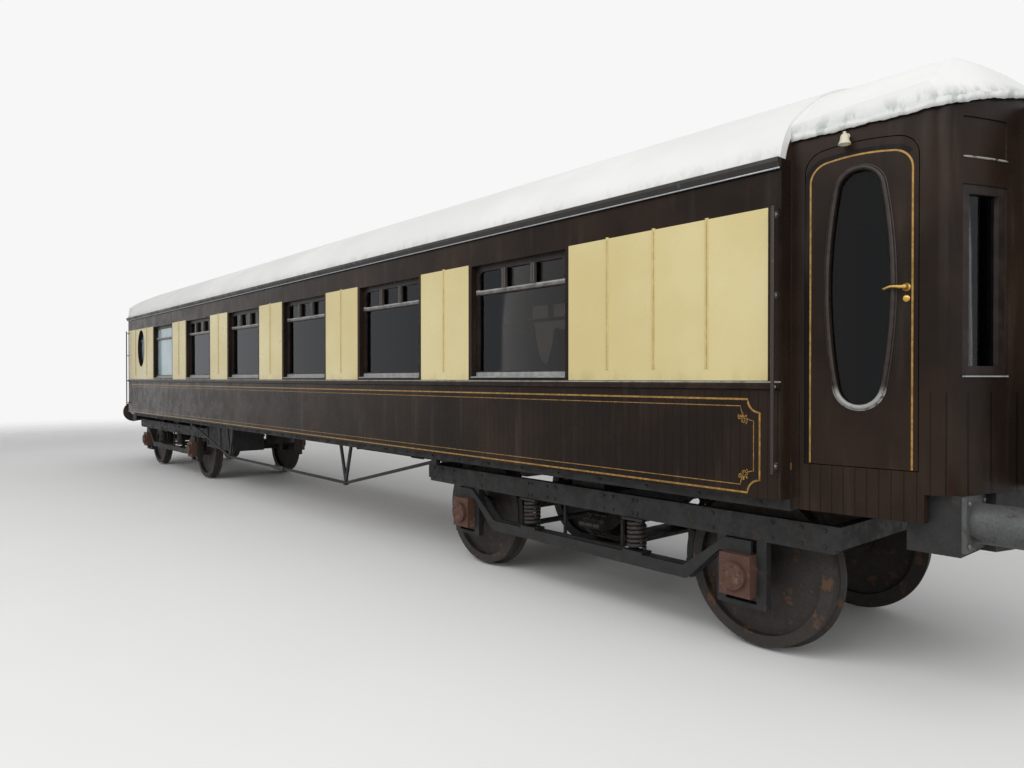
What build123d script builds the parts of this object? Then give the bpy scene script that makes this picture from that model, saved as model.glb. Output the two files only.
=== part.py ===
from build123d import *
from math import acos, asin, atan2, cos, degrees, hypot, pi, radians, sin, sqrt, tan
import os

os.makedirs("parts", exist_ok=True)

# Frame: +X along the coach, +Y across it, +Z up, millimetres.
# The origin is under the middle of the coach, level with the bottom of the wheel flanges.

# Wheels and rails
TREAD_R = 533.5
FLANGE_DEPTH = 28.0
RAIL_TOP = FLANGE_DEPTH
AXLE_Z = RAIL_TOP + TREAD_R
WHEEL_BACK_HALF = 680.0
FLANGE_T = 30.0
TYRE_W = 132.0
RIM_T = 75.0
WEB_T = 28.0
HUB_R = 125.0
HUB_W = 190.0
AXLE_R = 78.0
JOURNAL_R = 60.0
JOURNAL_END = 1085.0

# Main body
BODY_HALF_L = 7700.0
BODY_HALF_W = 1320.0
SIDE_T = 110.0
SIDE_BOTTOM_UP = 1110.0
SIDE_BOTTOM = RAIL_TOP + SIDE_BOTTOM_UP
FLOOR_TOP_UP = 1330.0
FLOOR_TOP = RAIL_TOP + FLOOR_TOP_UP
FLOOR_T = 45.0
WAIST_UP = 1825.0
WAIST_Z = RAIL_TOP + WAIST_UP
CANTRAIL_UP = 3160.0
CANTRAIL_Z = RAIL_TOP + CANTRAIL_UP
ROOF_TOP_UP = 3850.0
ROOF_TOP = RAIL_TOP + ROOF_TOP_UP
EAVE_HALF_W = 1335.0
EAVE_R = 470.0
EAVE_ANGLE = 12.0
ROOF_T = 60.0

# Side windows
WINDOW_PITCH = 2075.0
WINDOW_FIRST_FROM_END = 2435.0
WINDOW_COUNT = 6
WINDOW_W = 1210.0
WINDOW_SILL_Z = WAIST_Z + 25.0
WINDOW_H = 1010.0
WINDOW_TRANSOM_UP = 745.0
FRAME_SIDE_W = 50.0
FRAME_TOP_W = 50.0
FRAME_SILL_W = 60.0
TRANSOM_W = 45.0
MULLION_W = 25.0
TOPLIGHT_R = 60.0
FRAME_DEEP = 42.0
FRAME_SET_IN = 55.0
SILL_T = 14.0
SILL_OUT = 12.0
GLASS_T = 8.0
OVAL_FROM_END = 1050.0
OVAL_W = 520.0
OVAL_H = 760.0
OVAL_UP = 645.0
OVAL_RING_W = 45.0

# Vestibules and bowed ends
STEP_IN = 130.0
VESTIBULE_L = 800.0
VESTIBULE_TAPER = 6.5
VESTIBULE_CORNER_R = 120.0
VESTIBULE_WALL_T = 60.0
END_BOW_R = 2300.0
END_WALL_T = 60.0
END_BOTTOM_UP = 1210.0
END_BOTTOM = RAIL_TOP + END_BOTTOM_UP
KICK_BOTTOM_UP = 1050.0
KICK_BOTTOM = RAIL_TOP + KICK_BOTTOM_UP
ROOF_END_DROP = 15.0
ROOF_END_OVERHANG = 20.0
ROOF_DOME_R = 700.0
ROOF_DOME_OUT = 35.0
ROOF_DOME_RISE = 5.0
ROOF_EDGE_OVER_GANGWAY = 49.0
ROOF_EDGE_CORNER_UP = 3310.0
ROOF_EDGE_CORNER = RAIL_TOP + ROOF_EDGE_CORNER_UP

# Vestibule doors
DOORWAY_START = 75.0
DOORWAY_W = 622.0
DOORWAY_TOP_UP = 3205.0
DOORWAY_TOP = RAIL_TOP + DOORWAY_TOP_UP
DOORWAY_ARCH = 35.0
DOOR_GAP = 5.0
DOOR_T = 45.0
DOOR_CORNER_R = 125.0
DOOR_GLASS_W = 330.0
DOOR_GLASS_H = 1345.0
DOOR_GLASS_END_R = 115.0
DOOR_GLASS_UP = 1033.0
DOOR_RING_W = 28.0
HINGE_R = 8.0
HINGE_LENGTH = 90.0
HINGE_CLEAR = 0.5
HANDLE_UP = 985.0
HANDLE_FROM_EDGE = 60.0

# End windows and gangways
END_WINDOW_FROM = 142.0
END_WINDOW_W = 330.0
END_WINDOW_H = 1045.0
END_PANEL_UP = 150.0
END_PANEL_H = 215.0
END_PANEL_DEEP = 8.0
GANGWAY_SIDE_W = 180.0
GANGWAY_BOTTOM_UP = 1220.0
GANGWAY_BOTTOM = RAIL_TOP + GANGWAY_BOTTOM_UP
GANGWAY_HEAD_H = 110.0
GANGWAY_FOLDS = 5
GANGWAY_FOLD_L = 70.0
GANGWAY_FOLD_DEEP = 60.0
GANGWAY_CLOTH_T = 12.0
FACEPLATE_T = 40.0
PASSAGE_HALF_W = 320.0
PASSAGE_H = 1960.0

# Underframe
SOLEBAR_OUT = BODY_HALF_W - SIDE_T
SOLEBAR_T = 110.0
SOLEBAR_H = 250.0
HEADSTOCK_HALF_W = 1025.0
HEADSTOCK_H = 330.0
HEADSTOCK_T = 130.0
HEADSTOCK_RETURN = 195.0
CROSS_BEARER_T = 80.0
BUFFER_UP = 1055.0
BUFFER_Z = RAIL_TOP + BUFFER_UP
BUFFER_HALF_W = 870.0
BUFFER_REACH = 620.0
BUFFER_SEAT_BACK = 20.0
BUFFER_FLANGE_HALF = 150.0
BUFFER_HEAD_R = 228.0
BUFFER_HEAD_T = 30.0
BUFFER_SOCKET_R = 110.0
BUFFER_SOCKET_L = 330.0
BUFFER_RAM_R = 78.0
TRUSS_ROD_R = 18.0
TRUSS_Y = 1155.0
TRUSS_BOTTOM_UP = 580.0
TRUSS_BOTTOM = RAIL_TOP + TRUSS_BOTTOM_UP
QUEEN_POST_X = 1950.0
TRUSS_END_FROM_BOGIE = 1870.0

# Bogies
BOGIE_FROM_BODY_END = 1980.0
BOGIE_X = BODY_HALF_L - BOGIE_FROM_BODY_END
BOGIE_WHEELBASE = 3050.0
BOGIE_SWIVEL = 3.0
BOGIE_SIDE_Y = 985.0
BOGIE_SIDE_T = 60.0
BOGIE_SIDE_H = 170.0
BOGIE_SIDE_TOP_UP = 940.0
BOGIE_SIDE_TOP = RAIL_TOP + BOGIE_SIDE_TOP_UP
BOGIE_OVERHANG = 640.0
BEARING_CLEAR = 0.8
PLATE_CLEAR = 0.5


def box(x0, x1, y0, y1, z0, z1):
    centre = Pos((x0 + x1) / 2, (y0 + y1) / 2, (z0 + z1) / 2)
    return centre * Box(abs(x1 - x0), abs(y1 - y0), abs(z1 - z0))


def slab(points, direction):
    face = Face(Wire.make_polygon([Vector(*p) for p in points]))
    return Solid.extrude(face, Vector(*direction))


def rod(start, end, radius):
    axis = Vector(*end) - Vector(*start)
    plane = Plane(origin=Vector(*start), z_dir=axis)
    return Solid.make_cylinder(radius, axis.length, plane)


def both_sides(shapes):
    return list(shapes) + [mirror(s, about=Plane.XZ) for s in shapes]


def both_ends(shapes):
    return list(shapes) + [mirror(s, about=Plane.YZ) for s in shapes]


def save(shapes, node):
    solids = []
    for shape in shapes if isinstance(shapes, (list, tuple)) else [shapes]:
        solids.extend(shape.solids())
    item = solids[0] if len(solids) == 1 else Compound(children=solids)
    export_step(item, "parts/" + node + ".step")


def upright(x, y, facing):
    """Plane that stands upright at x, y and faces along the vector given: its y axis is up."""
    normal = Vector(*facing)
    return Plane(origin=(x, y, 0), x_dir=Vector(0, 0, 1).cross(normal), z_dir=normal)


# Plan of a vestibule: the side tapers in from the body, then the end bows out.
taper = radians(VESTIBULE_TAPER)
wall_start_y = BODY_HALF_W - STEP_IN
corner_x = BODY_HALF_L + VESTIBULE_L * cos(taper)
corner_y = wall_start_y - VESTIBULE_L * sin(taper)
bow_centre_x = corner_x - sqrt(END_BOW_R**2 - corner_y**2)
end_x = bow_centre_x + END_BOW_R

# Outline of the gangway, and the roof's edge over it
gangway_half_w = PASSAGE_HALF_W + GANGWAY_SIDE_W
gangway_top = FLOOR_TOP + PASSAGE_H + GANGWAY_HEAD_H
roof_edge_mid = gangway_top + ROOF_EDGE_OVER_GANGWAY
wide = 2 * BODY_HALF_W


def vestibule_plan(grow, back=0.0):
    """Face of the vestibule's outline, seen from above, grown by a distance."""
    y0 = wall_start_y + grow / cos(taper)
    radius = END_BOW_R + grow
    slope = tan(taper)
    a = 1 + slope**2
    b = -2 * (bow_centre_x + slope * (y0 + slope * BODY_HALF_L))
    c = bow_centre_x**2 + (y0 + slope * BODY_HALF_L) ** 2 - radius**2
    x1 = (-b + sqrt(b * b - 4 * a * c)) / (2 * a)
    y1 = y0 - slope * (x1 - BODY_HALF_L)
    x0 = BODY_HALF_L - back
    yb = y0 + slope * back
    tip = bow_centre_x + radius
    edges = [
        Edge.make_line((x0, yb, 0), (x0, -yb, 0)),
        Edge.make_line((x0, -yb, 0), (x1, -y1, 0)),
        Edge.make_three_point_arc((x1, -y1, 0), (tip, 0, 0), (x1, y1, 0)),
        Edge.make_line((x1, y1, 0), (x0, yb, 0)),
    ]
    return Face(Wire(edges))


def plan_solid(grow, z0, z1, back=0.0):
    return Pos(0, 0, z0) * Solid.extrude(vestibule_plan(grow, back), Vector(0, 0, z1 - z0))


# Roof section: two eave arcs that run into one crown arc.
eave_rad = radians(EAVE_ANGLE)
eave_cy = EAVE_HALF_W - EAVE_R * cos(eave_rad)
eave_cz = CANTRAIL_Z - EAVE_R * sin(eave_rad)
eave_drop = eave_cz - ROOF_TOP
crown_r = (eave_cy**2 + eave_drop**2 - EAVE_R**2) / (-2 * (eave_drop + EAVE_R))
crown_cz = ROOF_TOP - crown_r
join_angle = atan2(eave_cz - crown_cz, eave_cy)


def roof_point(inset, side, place):
    """Point of the section: place is eave, mid (of the eave arc), join or crown."""
    if place == "crown":
        return (0, 0, ROOF_TOP - inset)
    angle = {"eave": eave_rad, "mid": (eave_rad + join_angle) / 2, "join": join_angle}[place]
    radius = EAVE_R - inset
    return (0, side * (eave_cy + radius * cos(angle)), eave_cz + radius * sin(angle))


def roof_face(outer, inner):
    p = roof_point
    edges = [
        Edge.make_three_point_arc(p(outer, -1, "eave"), p(outer, -1, "mid"), p(outer, -1, "join")),
        Edge.make_three_point_arc(p(outer, -1, "join"), p(outer, 1, "crown"), p(outer, 1, "join")),
        Edge.make_three_point_arc(p(outer, 1, "join"), p(outer, 1, "mid"), p(outer, 1, "eave")),
        Edge.make_line(p(outer, 1, "eave"), p(inner, 1, "eave")),
        Edge.make_three_point_arc(p(inner, 1, "eave"), p(inner, 1, "mid"), p(inner, 1, "join")),
        Edge.make_three_point_arc(p(inner, 1, "join"), p(inner, 1, "crown"), p(inner, -1, "join")),
        Edge.make_three_point_arc(p(inner, -1, "join"), p(inner, -1, "mid"), p(inner, -1, "eave")),
        Edge.make_line(p(inner, -1, "eave"), p(outer, -1, "eave")),
    ]
    return Face(Wire(edges))


def under_roof_face(inset):
    """Everything below the roof's surface, down to a level well under the floor."""
    p = roof_point
    low = -1000.0
    y = p(inset, 1, "eave")[1]
    edges = [
        Edge.make_three_point_arc(p(inset, -1, "eave"), p(inset, -1, "mid"), p(inset, -1, "join")),
        Edge.make_three_point_arc(p(inset, -1, "join"), p(inset, 1, "crown"), p(inset, 1, "join")),
        Edge.make_three_point_arc(p(inset, 1, "join"), p(inset, 1, "mid"), p(inset, 1, "eave")),
        Edge.make_line(p(inset, 1, "eave"), (0, y, low)),
        Edge.make_line((0, y, low), (0, -y, low)),
        Edge.make_line((0, -y, low), p(inset, -1, "eave")),
    ]
    return Face(Wire(edges))


def along(face, x0, x1):
    return Pos(x0, 0, 0) * Solid.extrude(face, Vector(x1 - x0, 0, 0))


# Roof
below_cantrail = box(-BODY_HALF_L, BODY_HALF_L, -wide, wide, 0, CANTRAIL_Z)
roof = along(roof_face(0, ROOF_T), -BODY_HALF_L, BODY_HALF_L) - below_cantrail
save(roof, "roof")



def dome(inset):
    """Solid that rounds the roof down towards the bowed end, turned about the bow's centre."""
    top = ROOF_TOP - ROOF_END_DROP + ROOF_DOME_RISE - inset
    radius = END_BOW_R + ROOF_DOME_OUT - inset
    turn = ROOF_DOME_R - inset
    diag = turn * sqrt(0.5)
    edges = [
        Edge.make_line((0, 0, 0), (0, 0, top)),
        Edge.make_line((0, 0, top), (radius - turn, 0, top)),
        Edge.make_three_point_arc(
            (radius - turn, 0, top),
            (radius - turn + diag, 0, top - turn + diag),
            (radius, 0, top - turn),
        ),
        Edge.make_line((radius, 0, top - turn), (radius, 0, 0)),
        Edge.make_line((radius, 0, 0), (0, 0, 0)),
    ]
    return Pos(bow_centre_x, 0, 0) * Solid.revolve(Face(Wire(edges)), 360, Axis.Z)


def below_edge_face():
    """Region under the arched lower edge of the roof end."""
    edges = [
        Edge.make_three_point_arc(
            (0, -corner_y, ROOF_EDGE_CORNER), (0, 0, roof_edge_mid), (0, corner_y, ROOF_EDGE_CORNER)
        ),
        Edge.make_line((0, corner_y, ROOF_EDGE_CORNER), (0, 2 * corner_y, edge_far_z)),
        Edge.make_line((0, 2 * corner_y, edge_far_z), (0, 2 * corner_y, 0)),
        Edge.make_line((0, 2 * corner_y, 0), (0, -2 * corner_y, 0)),
        Edge.make_line((0, -2 * corner_y, 0), (0, -2 * corner_y, edge_far_z)),
        Edge.make_line((0, -2 * corner_y, edge_far_z), (0, -corner_y, ROOF_EDGE_CORNER)),
    ]
    return Face(Wire(edges))


edge_slope = 2 * (roof_edge_mid - ROOF_EDGE_CORNER) / corner_y
edge_far_z = ROOF_EDGE_CORNER - edge_slope * corner_y
below_edge = along(below_edge_face(), BODY_HALF_L, end_x + 200)
roof_end = along(under_roof_face(ROOF_END_DROP), BODY_HALF_L, end_x + 200) & dome(0)
roof_end &= plan_solid(ROOF_END_OVERHANG, CANTRAIL_Z, ROOF_TOP + 100)
roof_end -= below_edge
ceiling = along(under_roof_face(ROOF_T), BODY_HALF_L, end_x) & dome(ROOF_T - ROOF_END_DROP)
ceiling &= plan_solid(-VESTIBULE_WALL_T, 0, ROOF_TOP)
roof_end -= ceiling
save(both_ends([roof_end]), "roof_ends")

# Body sides with window openings
window_xs = [BODY_HALF_L - WINDOW_FIRST_FROM_END - i * WINDOW_PITCH for i in range(WINDOW_COUNT)]
saloon_xs = window_xs[:-1]
lavatory_x = window_xs[-1]
oval_x = OVAL_FROM_END - BODY_HALF_L
oval_z = WAIST_Z + OVAL_UP


def light_faces(toplights):
    """Panes of one window as faces centred on x, with y measured up from the sill."""
    half = WINDOW_W / 2 - FRAME_SIDE_W
    low = FRAME_SILL_W
    mid = WINDOW_TRANSOM_UP
    top = WINDOW_H - FRAME_TOP_W
    panes = [Pos(0, (low + mid) / 2) * Rectangle(2 * half, mid - low)]
    low = mid + TRANSOM_W
    count = 3 if toplights else 1
    pane_w = (2 * half - (count - 1) * MULLION_W) / count
    for i in range(count):
        centre = -half + pane_w / 2 + i * (pane_w + MULLION_W)
        pane = Pos(centre, (low + top) / 2) * Rectangle(pane_w, top - low)
        corners = pane.vertices().group_by(Axis.Y)[-1].sort_by(Axis.X)
        if i == 0:
            pane = fillet([corners[0]], TOPLIGHT_R)
            corners = pane.vertices().group_by(Axis.Y)[-1].sort_by(Axis.X)
        if i == count - 1:
            pane = fillet([pane.vertices().group_by(Axis.Y)[-1].sort_by(Axis.X)[-1]], TOPLIGHT_R)
        panes.append(pane)
    return panes


def oval_sketch(grow):
    return Ellipse(OVAL_W / 2 + grow, OVAL_H / 2 + grow)


def sill_plate(x):
    """Sloped plate in front of a sash, out over the side's lower edge."""
    back = -BODY_HALF_W + FRAME_SET_IN
    front = -BODY_HALF_W - SILL_OUT
    start = x - WINDOW_W / 2
    section = [
        (start, back, WINDOW_SILL_Z),
        (start, back, WINDOW_SILL_Z + SILL_T),
        (start, front, WINDOW_SILL_Z + SILL_T / 2),
        (start, front, WINDOW_SILL_Z),
    ]
    return slab(section, (WINDOW_W, 0, 0))


window_frames = []
window_glass = []
frosted_glass = []
for x in window_xs:
    toplights = x != lavatory_x
    outer = Pos(0, WINDOW_H / 2) * Rectangle(WINDOW_W, WINDOW_H)
    lights = light_faces(toplights)
    sash = outer
    for light in lights:
        sash = sash - light
    frame_plane = upright(x, -BODY_HALF_W + FRAME_SET_IN, (0, -1, 0))
    frame_at = frame_plane.location * Pos(0, WINDOW_SILL_Z, 0)
    window_frames.append(extrude(frame_at * sash, -FRAME_DEEP) + sill_plate(x))
    glass_at = frame_at * Pos(0, 0, -(FRAME_DEEP - GLASS_T) / 2)
    panes = [extrude(glass_at * light, -GLASS_T) for light in lights]
    if toplights:
        window_glass.extend(panes)
    else:
        frosted_glass.extend(panes)

side = box(-BODY_HALF_L, BODY_HALF_L, -BODY_HALF_W, -BODY_HALF_W + SIDE_T, SIDE_BOTTOM, CANTRAIL_Z)
for x in window_xs:
    side -= box(
        x - WINDOW_W / 2,
        x + WINDOW_W / 2,
        -BODY_HALF_W - 10,
        -BODY_HALF_W + SIDE_T + 10,
        WINDOW_SILL_Z,
        WINDOW_SILL_Z + WINDOW_H,
    )
oval_at = upright(oval_x, -BODY_HALF_W, (0, -1, 0)).location * Pos(0, oval_z, 0)
side -= extrude(oval_at * Pos(0, 0, 10) * oval_sketch(0), -SIDE_T - 20)
oval_ring_at = oval_at * Pos(0, 0, -FRAME_SET_IN)
oval_frame = extrude(oval_ring_at * (oval_sketch(0) - oval_sketch(-OVAL_RING_W)), -FRAME_DEEP)
oval_glass_at = oval_ring_at * Pos(0, 0, -(FRAME_DEEP - GLASS_T) / 2)
frosted_glass.append(extrude(oval_glass_at * oval_sketch(-OVAL_RING_W), -GLASS_T))
window_frames.append(oval_frame)
save(both_sides([side]), "body_sides")
save(both_sides(frosted_glass), "frosted_glass")

# Waist rail, cantrail gutter and beads
WAIST_RAIL_H = 55.0
WAIST_RAIL_OUT = 18.0
GUTTER_H = 60.0
GUTTER_OUT = 42.0
BEAD_W = 30.0
BEAD_OUT = 13.0
BEAD_START_UP = 85.0
BEAD_TOP_UP = 2884.0
BEAD_TOP = RAIL_TOP + BEAD_TOP_UP
BEADS_FROM_END = [1385.0, 955.0, 520.0]
OVAL_BEAD_OFFSET = 430.0

waist_rail = slab(
    [
        (-BODY_HALF_L, -BODY_HALF_W, WAIST_Z),
        (-BODY_HALF_L, -BODY_HALF_W - WAIST_RAIL_OUT, WAIST_Z - WAIST_RAIL_OUT),
        (-BODY_HALF_L, -BODY_HALF_W - WAIST_RAIL_OUT, WAIST_Z - WAIST_RAIL_H + WAIST_RAIL_OUT / 2),
        (-BODY_HALF_L, -BODY_HALF_W, WAIST_Z - WAIST_RAIL_H),
    ],
    (2 * BODY_HALF_L, 0, 0),
)
bead_low = WAIST_Z + BEAD_START_UP
panel_beads = [(window_xs[i] + window_xs[i + 1]) / 2 for i in range(len(window_xs) - 1)]
end_beads = [BODY_HALF_L - x for x in BEADS_FROM_END]
bead_xs = end_beads + panel_beads + [oval_x - OVAL_BEAD_OFFSET, oval_x + OVAL_BEAD_OFFSET]


def bead(x):
    section = Wire(
        [
            Edge.make_line((x + BEAD_W / 2, -BODY_HALF_W, bead_low), (x - BEAD_W / 2, -BODY_HALF_W, bead_low)),
            Edge.make_three_point_arc(
                (x - BEAD_W / 2, -BODY_HALF_W, bead_low),
                (x, -BODY_HALF_W - BEAD_OUT, bead_low),
                (x + BEAD_W / 2, -BODY_HALF_W, bead_low),
            ),
        ]
    )
    return Solid.extrude(Face(section), Vector(0, 0, BEAD_TOP - bead_low))


save(both_sides([waist_rail] + [bead(x) for x in bead_xs]), "mouldings")

gutter = slab(
    [
        (-BODY_HALF_L, -BODY_HALF_W, CANTRAIL_Z - GUTTER_H),
        (-BODY_HALF_L, -BODY_HALF_W, CANTRAIL_Z),
        (-BODY_HALF_L, -BODY_HALF_W - GUTTER_OUT, CANTRAIL_Z),
        (-BODY_HALF_L, -BODY_HALF_W - GUTTER_OUT, CANTRAIL_Z - GUTTER_H * 0.4),
        (-BODY_HALF_L, -BODY_HALF_W - GUTTER_OUT * 0.5, CANTRAIL_Z - GUTTER_H),
    ],
    (2 * BODY_HALF_L, 0, 0),
)
save(both_sides([gutter]), "gutters")

# Handrails by the body's corners: height of each bracket and how far out its seat stands
HANDRAIL_X = BODY_HALF_L - 30.0
HANDRAIL_R = 11.0
HANDRAIL_OUT = 45.0
HANDRAIL_LOW_UP = 1270.0
HANDRAIL_MID_UP = 2343.0
HANDRAIL_HIGH_UP = 2870.0
BRACKET_FROM_TIP = 45.0
handrail_low = RAIL_TOP + HANDRAIL_LOW_UP
handrail_high = RAIL_TOP + HANDRAIL_HIGH_UP
waist_face_z = WAIST_Z - (WAIST_RAIL_OUT + WAIST_RAIL_H - WAIST_RAIL_OUT / 2) / 2
HANDRAIL_BRACKETS = [
    # z, seat_out
    (handrail_low + BRACKET_FROM_TIP, 0.0),
    (waist_face_z, WAIST_RAIL_OUT),
    (RAIL_TOP + HANDRAIL_MID_UP, 0.0),
    (handrail_high - BRACKET_FROM_TIP, 0.0),
]
rail_y = -BODY_HALF_W - HANDRAIL_OUT
handrail = rod((HANDRAIL_X, rail_y, handrail_low), (HANDRAIL_X, rail_y, handrail_high), HANDRAIL_R)
for z, seat_out in HANDRAIL_BRACKETS:
    seat_y = -BODY_HALF_W - seat_out
    handrail += rod((HANDRAIL_X, seat_y, z), (HANDRAIL_X, rail_y, z), HANDRAIL_R * 0.8)
    if seat_out == 0:
        handrail += rod((HANDRAIL_X, seat_y, z), (HANDRAIL_X, seat_y - 5, z), HANDRAIL_R * 2)
save(both_ends(both_sides([handrail])), "handrails")

# Floor
inner_y = BODY_HALF_W - SIDE_T
floor = box(-BODY_HALF_L, BODY_HALF_L, -inner_y, inner_y, FLOOR_TOP - FLOOR_T, FLOOR_TOP)
vestibule_floor = plan_solid(-VESTIBULE_WALL_T, FLOOR_TOP - FLOOR_T, FLOOR_TOP)
save([floor] + both_ends([vestibule_floor]), "floor")

# Bench seats in facing pairs, one pair at each saloon window on either side of the aisle
SEAT_BACKS_GAP = 75.0
SEAT_DEEP = 500.0
SEAT_H = 440.0
SEAT_BACK_H = 1080.0
SEAT_BACK_T = 110.0
SEAT_BACK_RAKE = 60.0
SEAT_FOOT = 90.0
SEAT_AISLE_Y = 270.0
SEAT_WALL_GAP = 15.0
seat_pair_half = (WINDOW_PITCH - SEAT_BACKS_GAP) / 2


def seat_profile():
    """Side view: x runs back from the pair's middle, y runs up from the floor."""
    front = seat_pair_half - SEAT_DEEP - SEAT_BACK_T
    back = seat_pair_half
    outline = Polygon(
        (front + SEAT_FOOT, 0),
        (back, 0),
        (back, SEAT_BACK_H),
        (back - SEAT_BACK_T / 2, SEAT_BACK_H),
        (back - SEAT_BACK_T - SEAT_BACK_RAKE, SEAT_H),
        (front, SEAT_H),
        (front, SEAT_H - 130),
        (front + SEAT_FOOT, SEAT_H - 160),
        align=None,
    )
    corners = outline.vertices().filter_by(lambda v: v.Y > SEAT_H - 140)
    return fillet(corners, 25)


seat_plane = Plane(origin=(0, -SEAT_AISLE_Y, FLOOR_TOP), x_dir=(1, 0, 0), z_dir=(0, -1, 0))
seat_w = inner_y - SEAT_WALL_GAP - SEAT_AISLE_Y
seat = extrude(seat_plane.location * seat_profile(), seat_w)
seats = []
for x in saloon_xs:
    seats.append(Pos(x, 0, 0) * seat)
    seats.append(Pos(x, 0, 0) * mirror(seat, about=Plane.YZ))
save(both_sides(seats), "seats")

# Bulkheads and partitions
BULKHEAD_T = 60.0
PARTITION_T = 40.0
AISLE_HALF_W = 330.0
AISLE_DOOR_H = 1950.0
PARTITION_BEYOND_SEAT = 15.0
partition_reach = seat_pair_half + PARTITION_BEYOND_SEAT + PARTITION_T / 2
partition_xs = [saloon_xs[0] + partition_reach, saloon_xs[-1] - partition_reach]


def cross_wall(x0, x1):
    wall = along(under_roof_face(ROOF_T), x0, x1)
    wall &= box(x0, x1, -inner_y, inner_y, FLOOR_TOP, CANTRAIL_Z) + box(
        x0, x1, -BODY_HALF_W, BODY_HALF_W, CANTRAIL_Z, ROOF_TOP
    )
    return wall - box(x0 - 1, x1 + 1, -AISLE_HALF_W, AISLE_HALF_W, 0, FLOOR_TOP + AISLE_DOOR_H)


bulkhead = cross_wall(BODY_HALF_L - BULKHEAD_T, BODY_HALF_L)
partitions = [cross_wall(x - PARTITION_T / 2, x + PARTITION_T / 2) for x in partition_xs]
save(both_ends([bulkhead]) + partitions, "partitions")

# Vestibule side walls with doorways. The plane stands at the wall's start and faces out.
wall_dir = Vector(cos(taper), sin(taper), 0)
wall_out = Vector(sin(taper), -cos(taper), 0)
wall_plane = Plane(origin=(BODY_HALF_L, -wall_start_y, 0), x_dir=wall_dir, z_dir=wall_out)


def on_wall(u, z, out=0.0):
    return wall_plane.location * Pos(u, z, out)


doorway_mid = DOORWAY_START + DOORWAY_W / 2
doorway_h = DOORWAY_TOP - FLOOR_TOP


def door_outline(inset, bottom_inset):
    """Outline with an arched top and rounded corners, about the doorway's middle line."""
    half = DOORWAY_W / 2 - inset
    low = FLOOR_TOP + bottom_inset
    top = DOORWAY_TOP - inset
    shoulder = top - DOORWAY_ARCH
    edges = [
        Edge.make_line((-half, low), (half, low)),
        Edge.make_line((half, low), (half, shoulder)),
        Edge.make_three_point_arc((half, shoulder), (0, top), (-half, shoulder)),
        Edge.make_line((-half, shoulder), (-half, low)),
    ]
    panel = Sketch() + Face(Wire(edges))
    return fillet(panel.vertices().group_by(Axis.Y)[-1], DOOR_CORNER_R - inset)


vestibule_inner = plan_solid(-VESTIBULE_WALL_T, 0, ROOF_TOP + 200)
rounded_plan = Sketch() + vestibule_plan(0)
rounded_plan = fillet(rounded_plan.vertices().group_by(Axis.X)[-1], VESTIBULE_CORNER_R)
vestibule_outer = extrude(Pos(0, 0, KICK_BOTTOM) * rounded_plan, ROOF_TOP - KICK_BOTTOM)
shell = vestibule_outer - vestibule_inner
shell &= below_edge

# The end wall is the bowed part; the side walls are the rest.
end_cutter_x = corner_x - 75.0
end_wall = shell & box(end_cutter_x, end_x + 10, -wide, wide, END_BOTTOM, ROOF_TOP)
side_wall = shell & box(BODY_HALF_L, end_cutter_x, -wide, 0, KICK_BOTTOM, ROOF_TOP)
doorway_cut = extrude(on_wall(doorway_mid, 0, 50) * door_outline(0, 0), -VESTIBULE_WALL_T - 100)
side_wall -= doorway_cut
end_wall -= doorway_cut
end_wall -= mirror(doorway_cut, about=Plane.XZ)
save(both_ends(both_sides([side_wall])), "vestibule_sides")

def door_oval(grow):
    """Oval of two small end arcs that run into two long side arcs, grown by a distance."""
    half_w = DOOR_GLASS_W / 2 + grow
    half_h = DOOR_GLASS_H / 2 + grow
    end_r = DOOR_GLASS_END_R + grow
    end_up = half_h - end_r
    side_r = (half_w**2 + end_up**2 - end_r**2) / (2 * (half_w - end_r))
    lean = atan2(end_up, side_r - half_w)
    join_x = end_r * cos(lean)
    join_y = end_up + end_r * sin(lean)
    edges = [
        Edge.make_three_point_arc((join_x, join_y), (0, half_h), (-join_x, join_y)),
        Edge.make_three_point_arc((-join_x, join_y), (-half_w, 0), (-join_x, -join_y)),
        Edge.make_three_point_arc((-join_x, -join_y), (0, -half_h), (join_x, -join_y)),
        Edge.make_three_point_arc((join_x, -join_y), (half_w, 0), (join_x, join_y)),
    ]
    return Sketch() + Face(Wire(edges))


# Doors: leaf, oval glass with ring, handles, hinges. The axis stands on the inner face.
hinge_u = DOORWAY_START + 3.0
hinge_out = -VESTIBULE_WALL_T - HINGE_R - 1.0
hinge_point = on_wall(hinge_u, 0, hinge_out).position
leaf = extrude(on_wall(doorway_mid, 0, -2) * door_outline(DOOR_GAP, DOOR_GAP), -DOOR_T)
glass_mid_z = FLOOR_TOP + DOOR_GLASS_UP
oval_door = on_wall(doorway_mid, glass_mid_z, 0)
leaf -= extrude(oval_door * Pos(0, 0, 20) * door_oval(0), -DOOR_T - 60)
ring_out = extrude(oval_door * Pos(0, 0, -2) * (door_oval(DOOR_RING_W) - door_oval(0)), 10)
door_pane = extrude(oval_door * Pos(0, 0, -DOOR_T / 2) * door_oval(0), -GLASS_T)

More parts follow.
